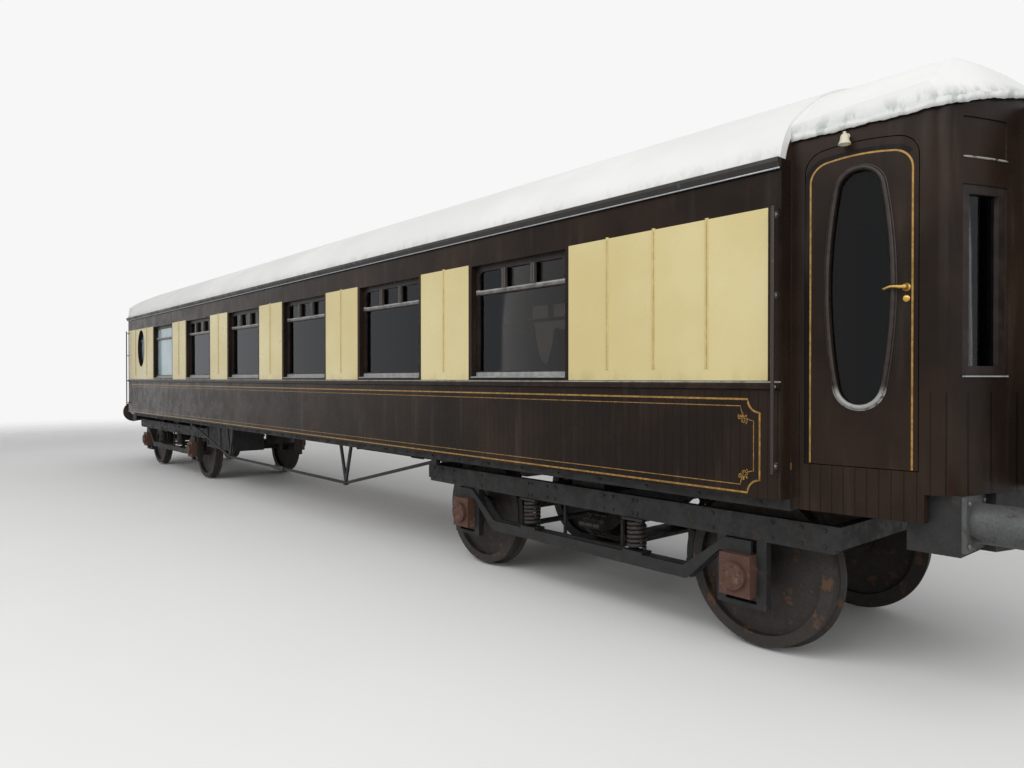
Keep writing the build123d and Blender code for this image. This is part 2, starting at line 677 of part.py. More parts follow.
HINGE_ZS = [FLOOR_TOP + 200.0, FLOOR_TOP + 950.0, FLOOR_TOP + 1650.0]
barrels = []
knuckles = []
for z in HINGE_ZS:
    third = HINGE_LENGTH / 3
    barrel_at = Pos(hinge_point.X, hinge_point.Y, z)
    barrel = barrel_at * Cylinder(HINGE_R, third)
    flap = on_wall(hinge_u, z, 0) * box(2, 60, -third / 2, third / 2, -DOOR_T - 6, -DOOR_T - 2)
    neck = on_wall(hinge_u, z, 0) * box(2, 8, -third / 2, third / 2, hinge_out, -DOOR_T - 2)
    barrels.append(barrel + flap + neck)
    for way in (-1, 1):
        lift = way * (third + HINGE_CLEAR)
        knuckle = Pos(0, 0, lift) * barrel_at * Cylinder(HINGE_R, third)
        plate = on_wall(hinge_u, z + lift, 0) * box(
            -45, -2, -third / 2, third / 2, -VESTIBULE_WALL_T - 4, -VESTIBULE_WALL_T
        )
        knuckles.append(knuckle + plate)

handle_u = DOORWAY_START + DOORWAY_W - DOOR_GAP - HANDLE_FROM_EDGE
handle_z = FLOOR_TOP + HANDLE_UP
plate_out = on_wall(handle_u, handle_z, 0) * box(-28, 28, -90, 90, -2, 4)
spindle = on_wall(handle_u, handle_z + 30, 4) * (Pos(0, 0, 20) * Cylinder(11, 40))
lever = on_wall(handle_u, handle_z + 30, 44) * box(-100, 12, -10, 10, -12, 6)
inside_plate = on_wall(handle_u, handle_z, -DOOR_T - 2) * box(-28, 28, -90, 90, -4, 0)
inside_knob = on_wall(handle_u, handle_z + 30, -DOOR_T - 6) * (Pos(0, 0, -15) * Cylinder(11, 30))
handle = plate_out + spindle + lever
handle_in = inside_plate + inside_knob

leaf_and_hinge = leaf
for barrel in barrels:
    leaf_and_hinge += barrel

for end_name, flip_x in (("front", False), ("rear", True)):
    for side_name, flip_y in (("left", False), ("right", True)):
        def place(shape):
            if flip_x:
                shape = mirror(shape, about=Plane.YZ)
            if flip_y:
                shape = mirror(shape, about=Plane.XZ)
            return shape

        tag = end_name + "_" + side_name
        save(place(leaf_and_hinge), "door_" + tag)
        save(place(door_pane), "door_glass_" + tag)
        save([place(ring_out), place(handle), place(handle_in)], "door_fittings_" + tag)

hinge_knuckles = both_ends(both_sides(knuckles))
save(hinge_knuckles, "door_hinges")

# Bell lamps over the doors, each on a short bracket
LAMP_ALONG = 319.0
LAMP_TOP_UP = 3277.0
LAMP_TOP = RAIL_TOP + LAMP_TOP_UP
LAMP_H = 93.0
LAMP_R = 35.0
LAMP_CAP_R = 14.0
LAMP_OUT = 48.0


def door_lamp():
    low = LAMP_TOP - LAMP_H
    neck = LAMP_TOP - LAMP_H / 4
    edges = [
        Edge.make_line((0, 0, LAMP_TOP), (LAMP_CAP_R, 0, LAMP_TOP)),
        Edge.make_line((LAMP_CAP_R, 0, LAMP_TOP), (LAMP_CAP_R, 0, neck)),
        Edge.make_three_point_arc((LAMP_CAP_R, 0, neck), (LAMP_R * 0.8, 0, LAMP_TOP - LAMP_H / 2), (LAMP_R, 0, low)),
        Edge.make_line((LAMP_R, 0, low), (LAMP_R - 4, 0, low)),
        Edge.make_line((LAMP_R - 4, 0, low), (0, 0, low + LAMP_H / 2)),
        Edge.make_line((0, 0, low + LAMP_H / 2), (0, 0, LAMP_TOP)),
    ]
    bell = Solid.revolve(Face(Wire(edges)), 360, Axis.Z)
    stand = on_wall(LAMP_ALONG, 0, LAMP_OUT).position
    arm = on_wall(LAMP_ALONG, LAMP_TOP - 8, 0) * (Pos(0, 0, LAMP_OUT / 2) * Cylinder(6, LAMP_OUT))
    return Pos(stand.X, stand.Y, 0) * bell + arm


save(both_ends(both_sides([door_lamp()])), "door_lamps")


# End walls with windows and the gangway opening
def end_cut(y0, y1, z0, z1):
    return box(bow_centre_x, end_x + 100, y0, y1, z0, z1)


def bow_angle_from_corner(distance):
    return asin(corner_y / END_BOW_R) - distance / END_BOW_R


win_y0 = END_BOW_R * sin(bow_angle_from_corner(END_WINDOW_FROM))
win_y1 = END_BOW_R * sin(bow_angle_from_corner(END_WINDOW_FROM + END_WINDOW_W))
end_window_cut = end_cut(win_y1, win_y0, WINDOW_SILL_Z, WINDOW_SILL_Z + END_WINDOW_H)
end_window_top = WINDOW_SILL_Z + END_WINDOW_H
end_panel_z = end_window_top + END_PANEL_UP
end_panel_cut = end_cut(win_y1, win_y0, end_panel_z, end_panel_z + END_PANEL_H)
end_panel_cut -= plan_solid(-END_PANEL_DEEP, 0, wide * 2)
passage_cut = end_cut(-PASSAGE_HALF_W, PASSAGE_HALF_W, FLOOR_TOP, FLOOR_TOP + PASSAGE_H)
for cut in both_sides([end_window_cut, end_panel_cut]):
    end_wall -= cut
end_wall -= passage_cut
save(both_ends([end_wall]), "end_walls")

frame_band = plan_solid(-8, END_BOTTOM, ROOF_TOP) - plan_solid(-8 - FRAME_DEEP, 0, ROOF_TOP + 200)
frame_outer = frame_band & end_window_cut
light_cut = end_cut(
    win_y1 + FRAME_SIDE_W,
    win_y0 - FRAME_SIDE_W,
    WINDOW_SILL_Z + FRAME_SILL_W,
    WINDOW_SILL_Z + END_WINDOW_H - FRAME_TOP_W,
)
end_sill = plan_solid(SILL_OUT, WINDOW_SILL_Z, WINDOW_SILL_Z + SILL_T)
end_sill -= plan_solid(-8, 0, ROOF_TOP)
end_frame = frame_outer - light_cut + (end_sill & end_window_cut)
glass_band = plan_solid(-30, END_BOTTOM, ROOF_TOP) - plan_solid(-30 - GLASS_T, 0, ROOF_TOP + 200)
end_pane = glass_band & light_cut
end_frames = both_ends(both_sides([end_frame]))
end_panes = both_ends(both_sides([end_pane]))
save(both_sides(window_frames) + end_frames, "window_frames")
save(both_sides(window_glass) + end_panes, "window_glass")

# Gangways: folded bellows and a faceplate
gangway_mid_z = (GANGWAY_BOTTOM + gangway_top) / 2


def ring_section(x, inset):
    rect = Rectangle(2 * (gangway_half_w - inset), gangway_top - GANGWAY_BOTTOM - 2 * inset)
    return Plane(origin=(x, 0, gangway_mid_z), x_dir=(0, 1, 0), z_dir=(1, 0, 0)).location * rect


def bellows(extra):
    tube = None
    for i in range(GANGWAY_FOLDS):
        x0 = end_x + i * GANGWAY_FOLD_L
        mid = x0 + GANGWAY_FOLD_L / 2
        x1 = x0 + GANGWAY_FOLD_L
        valley = GANGWAY_FOLD_DEEP + extra
        rise = loft([ring_section(x0, valley), ring_section(mid, extra)])
        fall = loft([ring_section(mid, extra), ring_section(x1, valley)])
        tube = rise + fall if tube is None else tube + rise + fall
    return tube


gangway_collar = box(
    end_x - 60, end_x, -gangway_half_w + 20, gangway_half_w - 20, GANGWAY_BOTTOM + 20, gangway_top - 20
)
gangway_collar -= plan_solid(0, 0, ROOF_TOP + 200)
gangway_collar -= box(
    end_x - 100, end_x + 1, -PASSAGE_HALF_W, PASSAGE_HALF_W, FLOOR_TOP, FLOOR_TOP + PASSAGE_H
)
gangway_bellows = bellows(0) - bellows(GANGWAY_CLOTH_T)
faceplate_x = end_x + GANGWAY_FOLDS * GANGWAY_FOLD_L
gangway_face = box(
    faceplate_x, faceplate_x + FACEPLATE_T, -gangway_half_w, gangway_half_w, GANGWAY_BOTTOM, gangway_top
)
gangway_face -= box(
    faceplate_x - 1,
    faceplate_x + FACEPLATE_T + 1,
    -PASSAGE_HALF_W,
    PASSAGE_HALF_W,
    FLOOR_TOP,
    FLOOR_TOP + PASSAGE_H,
)
footplate = box(end_x - 60, faceplate_x, -PASSAGE_HALF_W, PASSAGE_HALF_W, FLOOR_TOP - 20, FLOOR_TOP)
footplate -= plan_solid(0, 0, ROOF_TOP)
save(both_ends([gangway_bellows]), "gangway_bellows")
save(both_ends([gangway_collar, footplate, gangway_face]), "gangway_frames")

# Underframe: solebars, headstocks, cross bearers, bolster beams and side bearers
solebar_top = FLOOR_TOP - FLOOR_T
solebar_in = SOLEBAR_OUT - SOLEBAR_T
solebar = box(
    -BODY_HALF_L, BODY_HALF_L, -SOLEBAR_OUT, -solebar_in, solebar_top - SOLEBAR_H, solebar_top
)
CROSS_INSIDE_TRUSS_END = 400.0
truss_end_x = BOGIE_X - TRUSS_END_FROM_BOGIE
cross_xs = [0.0, QUEEN_POST_X, truss_end_x - CROSS_INSIDE_TRUSS_END]
MEMBER_GAP = 0.3
member_y = solebar_in - MEMBER_GAP
cross_zs = (solebar_top - 180.0, solebar_top)
cross_bearers = [
    box(x - CROSS_BEARER_T / 2, x + CROSS_BEARER_T / 2, -member_y, member_y, *cross_zs)
    for x in cross_xs
]
cross_bearers += [mirror(b, about=Plane.YZ) for b in cross_bearers[1:]]
BOLSTER_BEAM_W = 420.0
BOLSTER_BEAM_H = 110.0
bolster_beam = box(
    BOGIE_X - BOLSTER_BEAM_W / 2,
    BOGIE_X + BOLSTER_BEAM_W / 2,
    -member_y,
    member_y,
    solebar_top - BOLSTER_BEAM_H,
    solebar_top,
)
CENTRE_PLATE_R = 190.0
pivot_top = solebar_top - BOLSTER_BEAM_H
PIVOT_DEEP = 55.0
pivot_disc = Pos(BOGIE_X, 0, pivot_top - PIVOT_DEEP / 2) * Cylinder(CENTRE_PLATE_R, PIVOT_DEEP)
end_beam = box(BODY_HALF_L - 120, BODY_HALF_L, -member_y, member_y, *cross_zs)
LONG_Y = 420.0
LONG_T = 90.0
LONG_H = 200.0
end_long = box(
    BODY_HALF_L + MEMBER_GAP, end_x, -LONG_Y - LONG_T / 2, -LONG_Y + LONG_T / 2, solebar_top - LONG_H, solebar_top
)
end_long &= plan_solid(-HEADSTOCK_T - MEMBER_GAP, 0, ROOF_TOP)
headstock_front = plan_solid(-10, END_BOTTOM - HEADSTOCK_H, END_BOTTOM)
headstock = headstock_front & box(
    corner_x - HEADSTOCK_RETURN, end_x, -HEADSTOCK_HALF_W, HEADSTOCK_HALF_W, 0, ROOF_TOP
)
headstock -= plan_solid(-HEADSTOCK_T, 0, ROOF_TOP)
buffer_seat_x = bow_centre_x + sqrt((END_BOW_R - 10) ** 2 - BUFFER_HALF_W**2) - BUFFER_SEAT_BACK
for side in (1, -1):
    seat_ys = (side * (BUFFER_HALF_W - BUFFER_FLANGE_HALF), side * HEADSTOCK_HALF_W)
    headstock -= box(buffer_seat_x, end_x, min(seat_ys), max(seat_ys), 0, ROOF_TOP)
    headstock += box(
        buffer_seat_x - HEADSTOCK_T, buffer_seat_x, min(seat_ys), max(seat_ys), END_BOTTOM - HEADSTOCK_H, END_BOTTOM
    )
members = both_sides([solebar]) + cross_bearers
members += both_ends([bolster_beam + pivot_disc, end_beam, headstock])
members += both_ends(both_sides([end_long]))
save(members, "underframe")

# Truss rods and queen posts
TURNBUCKLE_HALF_L = 160.0
TURNBUCKLE_R = 34.0
SADDLE_HALF = 24.0
solebar_bottom = solebar_top - SOLEBAR_H
truss_mid = rod(
    (-TURNBUCKLE_HALF_L, -TRUSS_Y, TRUSS_BOTTOM), (TURNBUCKLE_HALF_L, -TRUSS_Y, TRUSS_BOTTOM), TURNBUCKLE_R
)
rod_end_x = QUEEN_POST_X - SADDLE_HALF
truss_mid += rod((-rod_end_x, -TRUSS_Y, TRUSS_BOTTOM), (rod_end_x, -TRUSS_Y, TRUSS_BOTTOM), TRUSS_ROD_R)

# The sloping rod starts at the saddle's outer face and ends in a foot under the solebar.
truss_slope = rod(
    (QUEEN_POST_X, -TRUSS_Y, TRUSS_BOTTOM), (truss_end_x, -TRUSS_Y, solebar_bottom - 30), TRUSS_ROD_R
)
saddle_block = box(
    QUEEN_POST_X - 200, QUEEN_POST_X + SADDLE_HALF, -TRUSS_Y - 100, -TRUSS_Y + 100, 0, TRUSS_BOTTOM + 100
)
truss_slope -= saddle_block
truss_slope += box(
    truss_end_x - 45, truss_end_x + 45, -TRUSS_Y - 25, -TRUSS_Y + 25, solebar_bottom - 60, solebar_bottom
)
save(both_sides([truss_mid] + both_ends([truss_slope])), "truss_rods")

QUEEN_SPREAD = 130.0
saddle = box(
    QUEEN_POST_X - SADDLE_HALF,
    QUEEN_POST_X + SADDLE_HALF,
    -TRUSS_Y - SADDLE_HALF,
    -TRUSS_Y + SADDLE_HALF,
    TRUSS_BOTTOM - SADDLE_HALF,
    TRUSS_BOTTOM + SADDLE_HALF,
)
queen_post = saddle
for way in (1, -1):
    queen_post += slab(
        [
            (QUEEN_POST_X - 22, -TRUSS_Y - 12, TRUSS_BOTTOM + SADDLE_HALF),
            (QUEEN_POST_X + 22, -TRUSS_Y - 12, TRUSS_BOTTOM + SADDLE_HALF),
            (QUEEN_POST_X + way * QUEEN_SPREAD + 22, -TRUSS_Y - 12, solebar_bottom),
            (QUEEN_POST_X + way * QUEEN_SPREAD - 22, -TRUSS_Y - 12, solebar_bottom),
        ],
        (0, 24, 0),
    )
save(both_ends(both_sides([queen_post])), "queen_posts")

# Battery boxes and brake cylinders, slung from bars under the outer cross bearers
CARRY_BAR_W = 50.0
CARRY_BAR_T = 30.0
BATTERY_L = 1250.0
BATTERY_DEEP = 520.0
BATTERY_H = 430.0
BATTERY_OUT_Y = 1070.0
BRAKE_CYLINDER_R = 230.0
BRAKE_CYLINDER_H = 380.0
carry_top = cross_zs[0]
carry_low = carry_top - CARRY_BAR_T
sling_x0 = cross_xs[1]
sling_x1 = cross_xs[2]
sling_mid = (sling_x0 + sling_x1) / 2


def carry_bar(y):
    reach = CROSS_BEARER_T / 2
    return box(sling_x0 - reach, sling_x1 + reach, y - CARRY_BAR_W / 2, y + CARRY_BAR_W / 2, carry_low, carry_top)


battery_y = -BATTERY_OUT_Y + BATTERY_DEEP / 2
battery = box(
    sling_mid - BATTERY_L / 2,
    sling_mid + BATTERY_L / 2,
    -BATTERY_OUT_Y,
    -BATTERY_OUT_Y + BATTERY_DEEP,
    carry_low - BATTERY_H,
    carry_low,
)
for way in (1, -1):
    lid_mid = sling_mid + way * BATTERY_L / 4
    lid_half = BATTERY_L / 4 - 40
    battery -= box(
        lid_mid - lid_half,
        lid_mid + lid_half,
        -BATTERY_OUT_Y - 1,
        -BATTERY_OUT_Y + 12,
        carry_low - BATTERY_H + 40,
        carry_low - 40,
    )
    battery += carry_bar(battery_y + way * (BATTERY_DEEP / 2 - 60))
save([mirror(battery, about=Plane.YZ), mirror(battery, about=Plane.XZ)], "battery_boxes")

cylinder_low = carry_low - BRAKE_CYLINDER_H
brake_cylinder = Pos(sling_mid, 0, (carry_low + cylinder_low) / 2) * Cylinder(BRAKE_CYLINDER_R, BRAKE_CYLINDER_H)
brake_cylinder += Pos(sling_mid, 0, carry_low - 20) * Cylinder(BRAKE_CYLINDER_R + 25, 40)
brake_cylinder += Pos(sling_mid, 0, cylinder_low - 60) * Cylinder(24, 120)
for y in (-150.0, 150.0):
    brake_cylinder += carry_bar(y)
save(both_ends([brake_cylinder]), "brake_cylinders")

# Buffers
buffer_base = buffer_seat_x
socket = Pos(buffer_base + BUFFER_SOCKET_L / 2, -BUFFER_HALF_W, BUFFER_Z) * (
    Rot(0, 90, 0) * Cylinder(BUFFER_SOCKET_R, BUFFER_SOCKET_L)
)
socket += box(
    buffer_base,
    buffer_base + 25,
    -BUFFER_HALF_W - BUFFER_FLANGE_HALF,
    -BUFFER_HALF_W + BUFFER_FLANGE_HALF,
    BUFFER_Z - BUFFER_FLANGE_HALF,
    BUFFER_Z + BUFFER_FLANGE_HALF,
)
ram_x0 = buffer_base + BUFFER_SOCKET_L
ram_x1 = buffer_base + BUFFER_REACH - BUFFER_HEAD_T
ram = Pos((ram_x0 + ram_x1) / 2, -BUFFER_HALF_W, BUFFER_Z) * (
    Rot(0, 90, 0) * Cylinder(BUFFER_RAM_R, ram_x1 - ram_x0)
)
head = Pos(ram_x1 + BUFFER_HEAD_T / 2, -BUFFER_HALF_W, BUFFER_Z) * (
    Rot(0, 90, 0) * Cylinder(BUFFER_HEAD_R, BUFFER_HEAD_T)
)
save(both_ends(both_sides([socket])), "buffer_sockets")
save(both_ends(both_sides([ram + head])), "buffer_rams")

# Draw hook
hook_x = bow_centre_x + END_BOW_R - 10
hook = box(hook_x, hook_x + 210, -22, 22, BUFFER_Z - 35, BUFFER_Z + 35)
hook += box(hook_x + 190, hook_x + 250, -22, 22, BUFFER_Z - 35, BUFFER_Z + 95)
hook += box(hook_x, hook_x + 20, -110, 110, BUFFER_Z - 110, BUFFER_Z + 110)
save(both_ends([hook]), "draw_hooks")


# Bogies
def wheel_profile(side):
    back = WHEEL_BACK_HALF
    face = back + TYRE_W
    flange_r = TREAD_R + FLANGE_DEPTH
    rim_r = TREAD_R - RIM_T
    mid = back + TYRE_W / 2
    return [
        (AXLE_R, mid - HUB_W / 2),
        (HUB_R, mid - HUB_W / 2),
        (HUB_R, mid - WEB_T / 2),
        (rim_r, mid - WEB_T / 2),
        (rim_r, back),
        (flange_r, back),
        (flange_r, back + FLANGE_T / 2),
        (TREAD_R, back + FLANGE_T),
        (TREAD_R, face),
        (rim_r, face),
        (rim_r, mid + WEB_T / 2),
        (HUB_R, mid + WEB_T / 2),
        (HUB_R, mid + HUB_W / 2),
        (AXLE_R, mid + HUB_W / 2),
    ]


def wheelset(x):
    profile = [Vector(0, -y, r) for r, y in wheel_profile(1)]
    face = Face(Wire.make_polygon(profile))
    wheel = Solid.revolve(face, 360, Axis.Y)
    seat = Pos(0, 0, 0) * (Rot(90, 0, 0) * Cylinder(AXLE_R, 2 * (WHEEL_BACK_HALF + TYRE_W / 2 + HUB_W / 2)))
    journals = Rot(90, 0, 0) * Cylinder(JOURNAL_R, 2 * JOURNAL_END)
    axle = seat + journals
    at = Pos(x, 0, AXLE_Z)
    return at * axle, [at * wheel, at * mirror(wheel, about=Plane.XZ)]


AXLEBOX_W = 230.0
AXLEBOX_H = 280.0
AXLEBOX_IN = 890.0
AXLEBOX_OUT = 1100.0
AXLEBOX_COVER_R = 92.0
AXLEBOX_COVER_T = 35.0
HORN_W = 70.0
HORN_BOTTOM = AXLE_Z - 190.0
EQUALISER_H = 90.0
EQUALISER_T = 26.0
EQUALISER_SIDE_CLEAR = 4.0
EQUALISER_DROP = 260.0
EQUALISER_FLAT = 1100.0
SPRING_R = 80.0
SPRING_X = 600.0
SPRING_SEAT_T = 18.0
TRANSOM_X = 330.0
TRANSOM_T = 80.0
BOLSTER_HALF_X = 180.0
BOLSTER_HALF_Y = 900.0
BOLSTER_BOTTOM_UP = 770.0
BOLSTER_BOTTOM = RAIL_TOP + BOLSTER_BOTTOM_UP
PLANK_TOP_UP = 440.0
PLANK_TOP = RAIL_TOP + PLANK_TOP_UP
PLANK_T = 30.0
LEAF_Y = 560.0
LEAF_HALF_L = 310.0
LEAF_T = 55.0
LEAF_W = 240.0
LEAF_EYE_R = 26.0
SWING_LINK_R = 16.0


def bogie_pieces():
    """Pieces of one bogie about its own centre."""
    half = BOGIE_WHEELBASE / 2
    y_mid = BOGIE_SIDE_Y
    side_low = BOGIE_SIDE_TOP - BOGIE_SIDE_H
    length = half + BOGIE_OVERHANG
    side = box(
        -length,
        length,
        -y_mid - BOGIE_SIDE_T / 2,
        -y_mid + BOGIE_SIDE_T / 2,
        side_low,
        BOGIE_SIDE_TOP,
    )
    horns = []
    for sx in (1, -1):
        for way in (1, -1):
            x0 = sx * half + way * (AXLEBOX_W / 2)
            x1 = x0 + way * HORN_W
            horns.append(
                box(
                    min(x0, x1),
                    max(x0, x1),
                    -y_mid - BOGIE_SIDE_T / 2,
                    -y_mid + BOGIE_SIDE_T / 2,
                    HORN_BOTTOM,
                    side_low,
                )
            )
        horns.append(
            box(
                sx * half - AXLEBOX_W / 2 - HORN_W,
                sx * half + AXLEBOX_W / 2 + HORN_W,
                -y_mid - BOGIE_SIDE_T / 2,
                -y_mid + BOGIE_SIDE_T / 2,
                HORN_BOTTOM - 30,
                HORN_BOTTOM,
            )
        )
    for horn in horns:
        side += horn
    frame = side + mirror(side, about=Plane.XZ)
    inner = y_mid - BOGIE_SIDE_T / 2
    for sx in (1, -1):
        frame += box(sx * length - 35, sx * length + 35, -inner - 60, inner + 60, side_low + 30, BOGIE_SIDE_TOP)
        frame += box(
            sx * TRANSOM_X - TRANSOM_T / 2,
            sx * TRANSOM_X + TRANSOM_T / 2,
            -inner,
            inner,
            side_low,
            BOGIE_SIDE_TOP,
        )
    return frame


def axleboxes():
    half = BOGIE_WHEELBASE / 2
    out = []
    for sx in (1, -1):
        body = box(
            sx * half - AXLEBOX_W / 2,
            sx * half + AXLEBOX_W / 2,
            -AXLEBOX_OUT,
            -AXLEBOX_IN,
            AXLE_Z - AXLEBOX_H / 2,
            AXLE_Z + AXLEBOX_H / 2,
        )
        body += Pos(sx * half, -AXLEBOX_OUT - AXLEBOX_COVER_T / 2, AXLE_Z) * (
            Rot(90, 0, 0) * Cylinder(AXLEBOX_COVER_R, AXLEBOX_COVER_T)
        )
        body -= Pos(sx * half, -(AXLEBOX_IN + JOURNAL_END) / 2, AXLE_Z) * (
            Rot(90, 0, 0) * Cylinder(JOURNAL_R + BEARING_CLEAR, JOURNAL_END - AXLEBOX_IN + 10)
        )
        out.append(body)
    return both_sides(out)


def bolster():
    top = pivot_top - PIVOT_DEEP - PLATE_CLEAR
    beam = box(
        -BOLSTER_HALF_X, BOLSTER_HALF_X, -BOLSTER_HALF_Y, BOLSTER_HALF_Y, BOLSTER_BOTTOM, BOGIE_SIDE_TOP + 60
    )
    pivot = Pos(0, 0, (BOGIE_SIDE_TOP + 60 + top) / 2)
    return beam + pivot * Cylinder(CENTRE_PLATE_R, top - BOGIE_SIDE_TOP - 60)


def equaliser():
    """Bar over one axlebox, down between the wheels and up over the other, on one side."""
    half = BOGIE_WHEELBASE / 2
    seat = AXLE_Z + AXLEBOX_H / 2
    low = seat - EQUALISER_DROP
    up = EQUALISER_H
    pts = [
        (-half - 90, seat),
        (-half + 150, seat),
        (-EQUALISER_FLAT, low),
        (EQUALISER_FLAT, low),
        (half - 150, seat),
        (half + 90, seat),
        (half + 90, seat + up),
        (half - 110, seat + up),
        (EQUALISER_FLAT - 30, low + up),
        (-EQUALISER_FLAT + 30, low + up),
        (-half + 110, seat + up),
        (-half - 90, seat + up),
    ]
    outline = Polygon(*[(x, z) for x, z in pts], align=None)
    inner = outline.vertices().filter_by(lambda v: abs(v.X) < half)
    outline = fillet(inner, 55)
    bars = []
    reach = BOGIE_SIDE_T / 2 + EQUALISER_SIDE_CLEAR
    for y in (-BOGIE_SIDE_Y - reach, -BOGIE_SIDE_Y + reach + EQUALISER_T):
        bars.append(extrude(Plane(origin=(0, y, 0), x_dir=(1, 0, 0), z_dir=(0, -1, 0)).location * outline, EQUALISER_T))
    return bars


def spring_ends():
    """Height of the equaliser bars' top and of the side frame's underside."""
    low = AXLE_Z + AXLEBOX_H / 2 - EQUALISER_DROP + EQUALISER_H
    return low, BOGIE_SIDE_TOP - BOGIE_SIDE_H


def coil_springs():
    low, high = spring_ends()
    length = high - low - 2 * SPRING_SEAT_T
    return [Pos(x, -BOGIE_SIDE_Y, (high + low) / 2) * Cylinder(SPRING_R, length) for x in (-SPRING_X, SPRING_X)]


def spring_seat(x, z0):
    reach = BOGIE_SIDE_T / 2 + EQUALISER_SIDE_CLEAR + EQUALISER_T
    half = SPRING_R + 15
    return box(x - half, x + half, -BOGIE_SIDE_Y - reach, -BOGIE_SIDE_Y + reach, z0, z0 + SPRING_SEAT_T)


def leaf_spring():
    """Elliptic spring: two bowed leaf packs joined at their eyes."""
    mid = (PLANK_TOP + BOLSTER_BOTTOM) / 2
    rise = BOLSTER_BOTTOM - mid
    packs = None
    for way in (1, -1):
        outer = Edge.make_three_point_arc((0, -LEAF_HALF_L, mid), (0, 0, mid + way * rise), (0, LEAF_HALF_L, mid))
        inner = Edge.make_three_point_arc(
            (0, LEAF_HALF_L, mid), (0, 0, mid + way * (rise - LEAF_T)), (0, -LEAF_HALF_L, mid)
        )
        pack = Solid.extrude(Face(Wire([outer, inner])), Vector(LEAF_W, 0, 0))
        packs = pack if packs is None else packs + pack
    for y in (-LEAF_HALF_L, LEAF_HALF_L):
        packs += Pos(LEAF_W / 2, y, mid) * (Rot(0, 90, 0) * Cylinder(LEAF_EYE_R, LEAF_W))
    return Pos(-LEAF_W / 2, -LEAF_Y, 0) * packs


def spring_plank():
    plank = box(-150, 150, -BOLSTER_HALF_Y, BOLSTER_HALF_Y, PLANK_TOP - PLANK_T, PLANK_TOP)
    link_x = TRANSOM_X
    for y in (-BOLSTER_HALF_Y + 60, BOLSTER_HALF_Y - 60):
        plank += box(-link_x - 30, link_x + 30, y - 30, y + 30, PLANK_TOP - PLANK_T - 30, PLANK_TOP - PLANK_T)
        for x in (-link_x, link_x):
            plank += rod((x, y, PLANK_TOP - PLANK_T), (x, y, BOGIE_SIDE_TOP - BOGIE_SIDE_H), SWING_LINK_R)
    return plank


BLOCK_CLEAR = 8.0
BLOCK_T = 50.0
BLOCK_W = 90.0
BLOCK_HALF_ANGLE = 18.0
HANGER_W = 26.0
HANGER_T = 24.0
HANGER_TOP = BOGIE_SIDE_TOP - 60.0
BEAM_R = 26.0
BEAM_DROP = 70.0


def brake_gear():
    """Blocks on the wheels' inner sides, their hangers from the side frames and a cross beam."""
    half = BOGIE_WHEELBASE / 2
    tread_mid = WHEEL_BACK_HALF + (FLANGE_T + TYRE_W) / 2
    inner_r = TREAD_R + BLOCK_CLEAR
    outer_r = inner_r + BLOCK_T
    reach = radians(BLOCK_HALF_ANGLE)

    def at(radius, angle, y):
        return (half - radius * cos(angle), y, AXLE_Z + radius * sin(angle))

    gear = None
    back_x = half - outer_r
    for side in (1, -1):
        y0 = side * tread_mid - BLOCK_W / 2
        edges = [
            Edge.make_three_point_arc(at(inner_r, -reach, y0), at(inner_r, 0, y0), at(inner_r, reach, y0)),
            Edge.make_line(at(inner_r, reach, y0), at(outer_r, reach, y0)),
            Edge.make_three_point_arc(at(outer_r, reach, y0), at(outer_r, 0, y0), at(outer_r, -reach, y0)),
            Edge.make_line(at(outer_r, -reach, y0), at(inner_r, -reach, y0)),
        ]
        block = Solid.extrude(Face(Wire(edges)), Vector(0, BLOCK_W, 0))
        ym = side * tread_mid
        hanger = box(
            back_x - HANGER_W / 2, back_x + HANGER_W / 2, ym - HANGER_T / 2, ym + HANGER_T / 2, AXLE_Z - 120, HANGER_TOP
        )
        bracket = box(
            back_x - 35,
            back_x + 35,
            side * (tread_mid - 30),
            side * (BOGIE_SIDE_Y - BOGIE_SIDE_T / 2),
            HANGER_TOP - 50,
            HANGER_TOP,
        )
        arm = block + hanger + bracket
        gear = arm if gear is None else gear + arm
    beam = rod(
        (back_x - BEAM_R / 2, -tread_mid, AXLE_Z - BEAM_DROP), (back_x - BEAM_R / 2, tread_mid, AXLE_Z - BEAM_DROP), BEAM_R
    )
    return gear + beam


bogie_frame = bogie_pieces()
bogie_boxes = axleboxes()
bogie_bolster = bolster()
equaliser_low, side_underside = spring_ends()
equaliser_pair = equaliser()
equaliser_set = equaliser_pair[0] + equaliser_pair[1]
for x in (-SPRING_X, SPRING_X):
    equaliser_set += spring_seat(x, equaliser_low)
    top_seat = spring_seat(x, side_underside - SPRING_SEAT_T)
    bogie_frame += top_seat
    bogie_frame += mirror(top_seat, about=Plane.XZ)
bogie_equalisers = both_sides([equaliser_set])
bogie_springs = both_sides(coil_springs())
bogie_leaves = both_sides([leaf_spring()])
bogie_plank = spring_plank()
bogie_brakes = both_ends([brake_gear()])
for name, sign in (("front", 1), ("rear", -1)):
    at = Pos(sign * BOGIE_X, 0, 0)
    save(at * bogie_frame, "bogie_frame_" + name)
    save([at * b for b in bogie_boxes], "axleboxes_" + name)
    save([at * b for b in bogie_equalisers], "equalisers_" + name)
    save([at * b for b in bogie_springs + bogie_leaves], "bogie_springs_" + name)
    save(at * bogie_bolster, "bogie_bolster_" + name)
    save(at * bogie_plank, "spring_plank_" + name)
    save([at * b for b in bogie_brakes], "brake_gear_" + name)
    for place_name, way in (("outer", sign), ("inner", -sign)):
        x = sign * BOGIE_X + way * BOGIE_WHEELBASE / 2
        axle, wheels = wheelset(x)
        which = name + "_" + place_name
        save(axle, "axle_" + which)
        save(wheels, "wheels_" + which)
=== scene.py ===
from math import asin, atan2, cos, degrees, pi, radians, sin, sqrt

import bpy
from mathutils import Matrix, Vector
from mathutils.bvhtree import BVHTree


